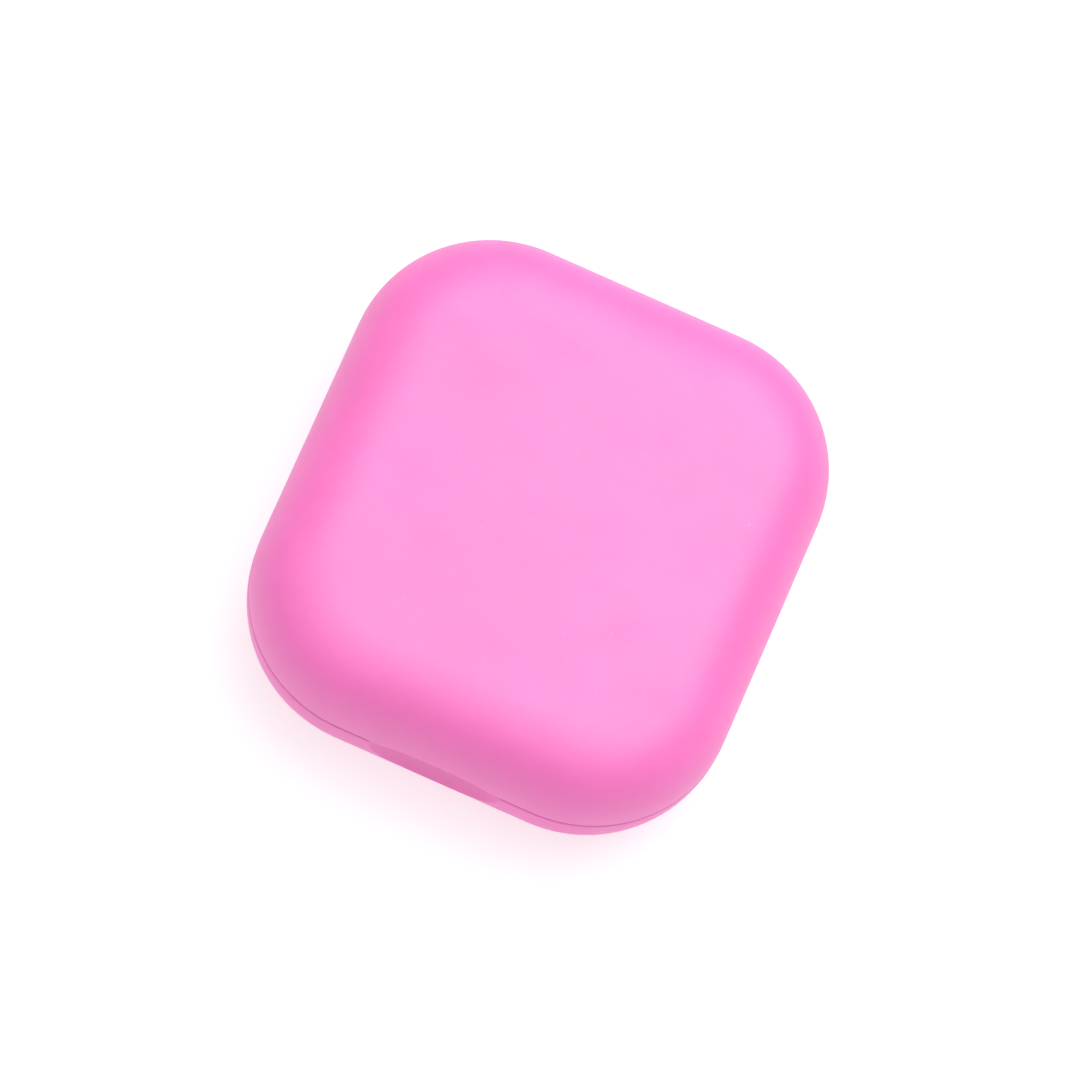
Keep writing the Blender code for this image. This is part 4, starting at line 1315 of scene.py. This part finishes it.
# ---------------------------------------------------------------- lens case
@dataclass
class LensCase:
    """The twin-well case with its two screw caps and their seals."""

    case: CaseForm
    base_height: float = 0.0050
    well_floor: float = 0.0012
    cup_fillet: float = 0.0042
    cup_rise: float = 0.0044
    neck_wall: float = 0.0016
    bridge_width: float = 0.0160
    skirt: float = 0.0016
    crown: float = 0.0014
    rib_depth: float = 0.00035
    ribs: int = 24
    rib_steps: int = 8
    thread_gap: float = 0.00035
    pitch: float = 0.0030
    ridge: float = 0.0006
    widths: tuple = (0.0013, 0.0006)
    soft: float = 0.0004
    foot: float = 0.0004
    groove: float = 0.00015
    ring_share: float = 0.72

    def __post_init__(self) -> None:
        """Read the places from the frame's boxes."""
        cap, body = Span.of("lens_cap_right"), Span.of("lens_case_body")
        self.radius = cap.size.x / 2
        self.well_x = cap.middle.x
        self.well_y = (cap.low.y + cap.high.y) / 2
        self.rest, self.neck_top = body.low.z, body.high.z
        self.neck_foot = self.rest + self.base_height
        self.cap_top = cap.high.z
        self.ceiling = self.cap_top - self.crown
        self.bore = self.radius - self.skirt
        self.neck_radius = self.bore - 2 * self.thread_gap - self.ridge

    def build(self) -> None:
        """Make the body, the caps and the seals."""
        self.build_body()
        choices = (("left", -1, PINK_CAP, Slot.CAP, Body.LEFT_CAP, Body.LEFT_SEAL),)
        choices += (("right", 1, WHITE_CAP, Slot.WHITE, Body.RIGHT_CAP, Body.RIGHT_SEAL),)
        for label, side, finish, slot, cap_body, seal_body in choices:
            place = (side * self.well_x, self.well_y, 0)
            title = label.capitalize()
            node = f"lens_cap_{label}"
            finished(f"LensCap{title}", self.cap().at(place), finish, node, cap_body)
            seal = self.seal(Span.of(f"cap_seal_{label}")).at(place)
            finished(f"CapSeal{title}", seal, SILICONE, f"cap_seal_{label}", seal_body)

    def cup(self) -> Form:
        """Make one cup with its neck and thread.

        Returns:
            The cup, not yet hollow.
        """
        curve = reversed(quarter(self.cup_fillet, self.cup_rise, FINE.fillet))
        low = [(0, self.rest)] + [(self.radius - inset, self.rest + drop) for inset, drop in curve]
        corners = [low[-1], (self.radius, self.neck_foot), (self.neck_radius, self.neck_foot)]
        corners += [(self.neck_radius, self.neck_top), (0, self.neck_top)]
        cup = Form.turned(low[:-1] + softened(corners, self.soft))
        root, crest = self.neck_radius - self.foot, self.neck_radius + self.ridge
        start = self.neck_foot + self.pitch / 2
        return cup.plus(Form.thread(root, crest, self.pitch, (0.0, 1.0), start, self.widths))

    def hollow(self) -> Form:
        """Make the space inside a cup, with a softened mouth.

        Returns:
            The form to cut out of the cup.
        """
        radius = self.neck_radius - self.neck_wall
        floor = self.rest + self.well_floor
        depth = self.neck_top - floor
        profile = [(0, floor)]
        for step in range(1, FINE.fillet + 1):
            angle = math.pi / 2 * step / FINE.fillet
            profile.append((radius * math.sin(angle), floor + depth / 2 * (1 - math.cos(angle))))
        lip = self.soft
        profile += [(radius, self.neck_top - lip), (radius + lip * 0.3, self.neck_top - lip * 0.3)]
        profile += [(radius + lip, self.neck_top + self.foot / 4), (0, self.neck_top + self.foot / 4)]
        return Form.turned(profile)

    def build_body(self) -> None:
        """Make the two cups on their bridge."""
        half, lift = self.bridge_width / 2, self.case.gap
        low = (-self.well_x, self.well_y - half, self.rest + lift)
        high = (self.well_x, self.well_y + half, self.neck_foot - 2 * lift)
        bridge = Form.block(low, high)
        bridge.rounded(self.soft, lambda edge: abs(edge.verts[0].co.x - edge.verts[1].co.x) > half)
        cups = [self.cup().at((side * self.well_x, self.well_y, 0)) for side in (-1, 1)]
        hollows = [self.hollow().at((side * self.well_x, self.well_y, 0)) for side in (-1, 1)]
        body = bridge.plus(*cups).minus(*hollows)
        finished("LensCaseBody", body, WHITE_CASE, "lens_case_body", Body.BASE)

    def cap(self) -> Form:
        """Make one ribbed cap with its thread, a dished top and a shallow ring groove.

        Returns:
            The cap.
        """
        low = self.neck_foot + self.case.gap
        edge, cut = self.soft, self.groove
        ring = self.radius * self.ring_share
        outer = [(self.bore, self.ceiling), (self.bore, low)]
        outer += [(self.radius, low), (self.radius, self.cap_top)]
        outer += [(ring + 3 * cut, self.cap_top), (ring + 2 * cut, self.cap_top - cut)]
        outer += [(ring, self.cap_top - cut), (ring - cut, self.cap_top), (ring - 2 * edge, self.cap_top)]
        profile = [(0, self.ceiling)] + softened(outer, edge) + [(0, self.cap_top)]
        cap = Form.turned(profile, steps=self.ribs * self.rib_steps)
        fade = 3 * edge
        for vert in cap.bm.verts:
            radius = math.hypot(vert.co.x, vert.co.y)
            if radius > self.radius - edge:
                wave = 0.5 - 0.5 * math.cos(self.ribs * math.atan2(vert.co.y, vert.co.x))
                ends = min(1.0, (self.cap_top - vert.co.z) / fade)
                shrink = (radius - self.rib_depth * wave * ends) / radius
                vert.co.x *= shrink
                vert.co.y *= shrink
        root, crest = self.bore + self.foot, self.bore - self.ridge
        return cap.plus(Form.thread(root, crest, self.pitch, (0.35, 0.8), self.neck_foot, self.widths))

    def seal(self, span: Span) -> Form:
        """Make one soft disc with rounded edges.

        Args:
            span: The box that it fills.

        Returns:
            The disc.
        """
        radius = span.size.x / 2
        corners = [(0, span.low.z), (radius, span.low.z), (radius, span.high.z), (0, span.high.z)]
        return Form.turned(softened(corners, span.size.z * 0.4))


# ---------------------------------------------------------------- tweezers
@dataclass
class Tweezers:
    """Two sprung arms with soft tips."""

    case: CaseForm
    bow: float = 0.0006
    root: float = 0.0018
    end: float = 0.0010
    tail_radius: float = 0.0030
    pivot: float = 0.0012
    tip_wall: float = 0.0005
    angle: float = 4.0
    soft: float = 0.00028
    reach: float = 0.0004
    ridges: int = 5
    ridge_pitch: float = 0.0009
    ridge_cut: float = 0.00014
    ridge_share: float = 0.36
    steps: int = 28

    def __post_init__(self) -> None:
        """Read the places from the frame's boxes."""
        self.arm = Span.of("tweezer_arm_fixed")
        self.tips = (Span.of("tweezer_tip_fixed"), Span.of("tweezer_tip_moving"))
        middle = (self.tips[0].middle.y + self.tips[1].middle.y) / 2
        self.tail = Vector((self.arm.low.x + self.tail_radius, middle, self.arm.low.z))
        self.height = self.arm.size.z
        self.length = self.arm.high.x - self.tail.x
        self.offset = self.tips[1].middle.y - middle

    def bar(self, start: float, end: float) -> Form:
        """Return one bowed arm.

        Args:
            start: Its middle's offset at the tail, along Y.
            end: Its middle's offset at the tip.

        Returns:
            The arm.
        """
        left, right = [], []
        for step in range(self.steps + 1):
            share = step / self.steps
            middle = start + (end - start) * share + math.copysign(self.bow, end) * math.sin(math.pi * share)
            half = (self.root + (self.end - self.root) * share) / 2
            left.append((self.length * share, middle + half))
            right.append((self.length * share, middle - half))
        return Form.prism(right + left[::-1], 0, self.height)

    def disc(self, radius: float, over: float = 0.0) -> Form:
        """Make an upright disc.

        Args:
            radius: Its radius.
            over: How far it stands out above and below the arms.

        Returns:
            The disc.
        """
        low, high = -over, self.height + over
        corners = [(0, low), (radius, low), (radius, high), (0, high)]
        profile = corners if over else softened(corners, self.soft)
        return Form.turned(profile, steps=FINE.turn // 2)

    def fine(self, form: Form) -> Form:
        """Round an arm's long upper and lower edges.

        Args:
            form: The arm.

        Returns:
            The same arm.
        """
        limit = self.height - self.reach

        def long_edge(edge: bmesh.types.BMEdge) -> bool:
            """Tell whether an edge lies on the upper or the lower face."""
            heights = [vert.co.z for vert in edge.verts]
            return min(heights) > limit or max(heights) < self.reach

        return form.rounded(self.soft, long_edge)

    def build(self) -> None:
        """Make the arms and their tips."""
        gap = self.case.gap
        middle = -(self.tail_radius + self.pivot + gap) / 2
        turn = math.radians(self.angle)
        sweep = (self.root / 2 + gap) / math.cos(turn)
        wide = 2 * self.tail_radius
        slot = [(0, -sweep), (wide, -sweep - wide * math.tan(turn)), (wide, wide)]
        slot += [(self.pivot, wide), (0, sweep)]
        fixed = self.fine(self.bar(middle, -self.offset)).plus(self.disc(self.tail_radius))
        fixed = fixed.minus(self.disc(self.pivot + gap, self.reach))
        fixed = fixed.minus(Form.prism(slot, -self.reach, self.height + self.reach))
        moving = self.fine(self.bar(0, self.offset)).plus(self.disc(self.pivot))
        tail = self.tail
        node = "tweezer_arm_fixed"
        finished("TweezerArmFixed", fixed.at(tail), TINTED_PLASTIC, node, Body.BASE)
        node = "tweezer_arm_moving"
        finished("TweezerArmMoving", moving.at(tail), TINTED_PLASTIC, node, Body.TWEEZER_ARM)
        bodies = (Body.BASE, Body.TWEEZER_ARM)
        for label, span, body in zip(("fixed", "moving"), self.tips, bodies):
            name = f"TweezerTip{label.capitalize()}"
            finished(name, self.tip(span), SILICONE, f"tweezer_tip_{label}", body)

    def tip(self, span: Span) -> Form:
        """Return one soft sleeve with a rounded nose and shallow grip ridges.

        Args:
            span: The box that it fills.

        Returns:
            The sleeve.
        """
        gap, wall = self.case.gap, self.tip_wall
        nose = span.low.x + span.size.y / 2
        sleeve = Form.block(span.low, span.high)
        sleeve.rounded(span.size.y / 4, lambda edge: all(vert.co.x > nose for vert in edge.verts), 5)
        sleeve.rounded(self.soft / 2, lambda edge: edge.calc_face_angle(0) > 1.2, 2)
        low = (span.low.x - self.reach, span.low.y + wall, span.low.z + wall)
        high = (self.arm.high.x + gap, span.high.y - wall, span.high.z - wall)
        made = sleeve.minus(Form.block(low, high))
        inward = span.low.y if span.middle.y > self.tail.y else span.high.y
        for index in range(self.ridges):
            x = self.arm.high.x + gap + wall - index * self.ridge_pitch
            groove = Form.turned([(0, -1), (self.ridge_cut, -1), (self.ridge_cut, 1), (0, 1)], steps=12)
            tall = Matrix.Diagonal((1, 1, span.size.z * self.ridge_share, 1))
            groove.moved(tall).at((x, inward, span.middle.z))
            made = made.minus(groove)
        return made


# ---------------------------------------------------------------- applicator
@dataclass
class Applicator:
    """A stick with a soft suction cup."""

    case: CaseForm
    spigot: float = 0.0012
    soft: float = 0.0003
    rings: int = 6
    ring_pitch: float = 0.0016
    ring_depth: float = 0.00022
    grip_start: float = 0.14
    grip_end: float = 0.45
    waist_start: float = 0.5

    def build(self) -> None:
        """Make the stick and the cup."""
        handle, cup = Span.of("applicator_handle"), Span.of("applicator_cup")
        gap = self.case.gap
        radius = handle.size.y / 2
        waist = radius - 2 * self.case.rim_round
        shoulder = cup.low.x - gap - handle.low.x
        end = handle.size.x
        line = [(0, 0), (radius, 0), (radius, shoulder * self.grip_start)]
        for index in range(self.rings):
            x = shoulder * self.grip_start + index * self.ring_pitch
            deep = radius - self.ring_depth
            share = self.ring_pitch / 4
            line += [(deep, x + share), (deep, x + 2 * share)]
            line += [(radius, x + 3 * share), (radius, x + 4 * share)]
        line += [(radius, shoulder * self.grip_end), (waist, shoulder * self.waist_start)]
        line += [(waist, shoulder)]
        line += [(self.spigot, shoulder), (self.spigot, end), (0, end)]
        place = (handle.low.x, handle.middle.y, handle.middle.z)
        stick = Form.turned(softened(line, self.soft)).along_x().at(place)
        finished("ApplicatorStick", stick, TINTED_PLASTIC, "applicator_handle", Body.BASE)

        outer, start = cup.size.y / 2, shoulder + gap
        stop, web = start + cup.size.x, end + gap
        middle = (web + stop) / 2
        socket, lip = self.spigot + gap / 2, self.case.piece_gap
        shell = [(0, web), (socket, web), (socket, start), (waist, start), (waist, web), (outer, stop)]
        shell += [(outer - lip, stop), (waist - lip, middle + lip), (0, middle)]
        soft_cup = Form.turned(softened(shell, self.soft, 5)).along_x().at(place)
        finished("ApplicatorCup", soft_cup, SILICONE, "applicator_cup", Body.BASE)


# ---------------------------------------------------------------- bottle
@dataclass
class Bottle:
    """The solution bottle with its plug, cap and liner."""

    case: CaseForm
    wall: float = 0.0010
    shoulder: float = 0.0030
    neck_radius: float = 0.0042
    bore: float = 0.0030
    neck_length: float = 0.0070
    skirt: float = 0.0010
    top: float = 0.0012
    pitch: float = 0.0025
    ridge: float = 0.00045
    widths: tuple = (0.0010, 0.0005)
    thread_gap: float = 0.00035
    flange: float = 0.0006
    hole: float = 0.0006
    plug: float = 0.0035
    soft: float = 0.0003
    foot: float = 0.0004
    ribs: int = 30
    rib_depth: float = 0.00022
    rib_steps: int = 6

    def __post_init__(self) -> None:
        """Read the places from the frame's boxes."""
        body, cap = Span.of("bottle_body"), Span.of("bottle_cap")
        self.radius = body.size.z / 2
        self.place = Vector((cap.low.x - self.case.gap, body.middle.y, body.middle.z))
        self.start = body.low.x - self.place.x
        self.end = cap.high.x - self.place.x
        self.cap_radius = cap.size.z / 2
        self.cap_bore = self.cap_radius - self.skirt

    def laid(self, form: Form) -> Form:
        """Lay a form that stands on Z along the bottle's axis."""
        return form.along_x().at(self.place)

    def build(self) -> None:
        """Make the four pieces."""
        self.build_body()
        self.build_nozzle()
        self.build_cap()

    def build_body(self) -> None:
        """Make the hollow bottle with its neck thread."""
        outer, inner, wall = self.radius, self.radius - self.wall, self.wall
        start, drop = self.start, self.shoulder
        walls = [(0, start + wall * 0.4), (outer * 0.62, start + wall * 0.3), (outer * 0.78, start)]
        walls += [(outer, start), (outer, -drop), (outer - wall, -drop / 3), (self.neck_radius, 0)]
        walls += [(self.neck_radius, self.neck_length), (self.bore, self.neck_length), (self.bore, -wall)]
        walls += [(inner - wall, -drop / 3 - wall), (inner, -drop - wall), (inner, start + 2 * wall)]
        walls += [(inner - wall, start + wall * 1.4), (0, start + wall * 1.4)]
        body = Form.turned(softened(walls, wall * 0.6, 5))
        root, crest = self.neck_radius - self.foot, self.neck_radius + self.ridge
        ridge = Form.thread(root, crest, self.pitch, (0.0, 1.2), self.pitch * 0.9, self.widths)
        made = self.laid(body.plus(ridge))
        finished("BottleBody", made, BOTTLE_PLASTIC, "bottle_body", Body.BASE)

    def build_nozzle(self) -> None:
        """Make the dropper plug."""
        gap = self.case.gap
        tip = Span.of("bottle_nozzle").high.x - self.place.x
        seat, radius, plug = self.neck_length + gap, self.neck_radius - gap, self.bore - gap / 2
        foot = self.neck_length - self.plug
        shape = [(self.hole, tip), (self.hole, seat - gap), (plug - self.flange, foot)]
        shape += [(plug, foot), (plug, seat), (radius, seat), (radius, seat + self.flange)]
        shape += [(2 * self.hole + self.flange, seat + self.flange), (2 * self.hole, tip)]
        nozzle = Form.turned(softened(shape, self.soft / 2, 3, closed=True), closed=True)
        finished("BottleNozzle", self.laid(nozzle), SILICONE, "bottle_nozzle", Body.BASE)

    def build_cap(self) -> None:
        """Make the ribbed cap with its thread, and the liner inside it."""
        low, ceiling = self.case.gap, self.end - self.top
        corners = [(self.cap_bore, ceiling), (self.cap_bore, low), (self.cap_radius, low)]
        corners += [(self.cap_radius, self.end), (self.cap_radius * 0.55, self.end)]
        profile = [(0, ceiling)] + softened(corners, self.soft * 1.5) + [(0, self.end)]
        cap = Form.turned(profile, steps=self.ribs * self.rib_steps)
        for vert in cap.bm.verts:
            radius = math.hypot(vert.co.x, vert.co.y)
            if radius > self.cap_radius - self.soft:
                wave = 0.5 - 0.5 * math.cos(self.ribs * math.atan2(vert.co.y, vert.co.x))
                ends = min(1.0, max(0.0, self.end - vert.co.z) / (4 * self.soft))
                shrink = (radius - self.rib_depth * wave * ends) / radius
                vert.co.x *= shrink
                vert.co.y *= shrink
        root, crest = self.cap_bore + self.foot, self.cap_bore - self.ridge
        cap = cap.plus(Form.thread(root, crest, self.pitch, (0.2, 0.8), self.pitch * 0.4, self.widths))
        finished("BottleCap", self.laid(cap), PINK_CAP, "bottle_cap", Body.BOTTLE_CAP)
        span = Span.of("bottle_cap_liner")
        start, end = span.low.x - self.place.x, span.high.x - self.place.x
        disc = [(0, start), (span.size.y / 2, start), (span.size.y / 2, end), (0, end)]
        liner = self.laid(Form.turned(softened(disc, span.size.x * 0.3)))
        finished("BottleLiner", liner, FOAM_PAD, "bottle_cap_liner", Body.BOTTLE_LINER)


# ---------------------------------------------------------------- studio
@dataclass(frozen=True)
class SoftBox:
    """A square soft light that faces the case: its name, place, side and power in watts."""

    name: str
    place: tuple
    side: float
    power: float

    def hang(self) -> None:
        """Add the light to the scene."""
        data = bpy.data.lights.new(self.name, "AREA")
        data.shape = "SQUARE"
        data.size = self.side
        data.energy = self.power
        light = bpy.data.objects.new(self.name, data)
        light.location = self.place
        light.rotation_euler = Vector(self.place).to_track_quat("Z", "Y").to_euler()
        bpy.context.scene.collection.objects.link(light)


KEY_BOX = SoftBox("KeyBox", (0.10, 0.26, 0.55), 0.60, 2.5)
TOP_BOX = SoftBox("TopBox", (0.0, 0.10, 1.60), 2.0, 10.0)


@dataclass
class Studio:
    """The floor, the lights and the camera."""

    case: CaseForm
    elevation: float = 70.0
    azimuth: float = 0.5
    roll: float = 23.4
    distance: float = 1.30
    frame_width: float = 0.1545
    shift: float = -0.0063
    aim: tuple = (0.0, 0.0, 0.013)
    sensor: float = 36.0
    nearest: float = 0.01
    farthest: float = 20.0
    floor_half: float = 1.6
    floor_cells: int = 8
    surround: float = 0.50

    def build(self) -> None:
        """Make the whole setting."""
        self.build_floor()
        self.build_lights()
        self.build_camera()
        settings = bpy.context.scene.view_settings
        settings.view_transform = "Standard"
        settings.look = "None"

    def build_floor(self) -> None:
        """Lay a wide sheet of evenly lit white paper under the case."""
        bm = bmesh.new()
        cells = self.floor_cells
        bmesh.ops.create_grid(bm, x_segments=cells, y_segments=cells, size=self.floor_half)
        floor = bpy.data.objects.new("FloorSheet", Form(bm).mesh("FloorSheet"))
        floor.data.materials.append(PAINTS.of(FLOOR_PAPER))
        bpy.context.scene.collection.objects.link(floor)

    def build_lights(self) -> None:
        """Hang a soft box behind and to the right and a wide one overhead, in a dim white surround."""
        KEY_BOX.hang()
        TOP_BOX.hang()
        world = bpy.data.worlds.new("Surround")
        world.use_nodes = True
        background = world.node_tree.nodes["Background"]
        background.inputs["Color"].default_value = (1.0, 1.0, 1.0, 1.0)
        background.inputs["Strength"].default_value = self.surround
        bpy.context.scene.world = world

    def build_camera(self) -> None:
        """Set a long lens over the front edge, turned about its own axis."""
        data = bpy.data.cameras.new("Camera")
        data.sensor_width = self.sensor
        data.lens = self.sensor * self.distance / self.frame_width
        data.shift_y = self.shift
        data.clip_start = self.nearest
        data.clip_end = self.farthest
        camera = bpy.data.objects.new("Camera", data)
        turn, rise = math.radians(self.azimuth), math.radians(self.elevation)
        back = Vector((math.sin(turn) * math.cos(rise), -math.cos(turn) * math.cos(rise), math.sin(rise)))
        camera.location = Vector(self.aim) + back * self.distance
        level = (-back).to_track_quat("-Z", "Y").to_matrix()
        camera.rotation_euler = (level @ Matrix.Rotation(math.radians(self.roll), 3, "Z")).to_euler()
        bpy.context.scene.collection.objects.link(camera)
        bpy.context.scene.camera = camera


def main() -> None:
    """Build every sub-assembly in order, then the studio."""
    logging.basicConfig(level=logging.INFO, format="%(name)s: %(message)s")
    case = CaseForm()
    hinge = Hinge(case)
    outer = OuterCase(case, hinge)
    outer.build()
    hinge.build_pin()
    Tray(case, outer).build()
    MirrorInsert(case).build()
    LensCase(case).build()
    Tweezers(case).build()
    Applicator(case).build()
    Bottle(case).build()
    Studio(case).build()


if __name__ == "__main__":
    main()
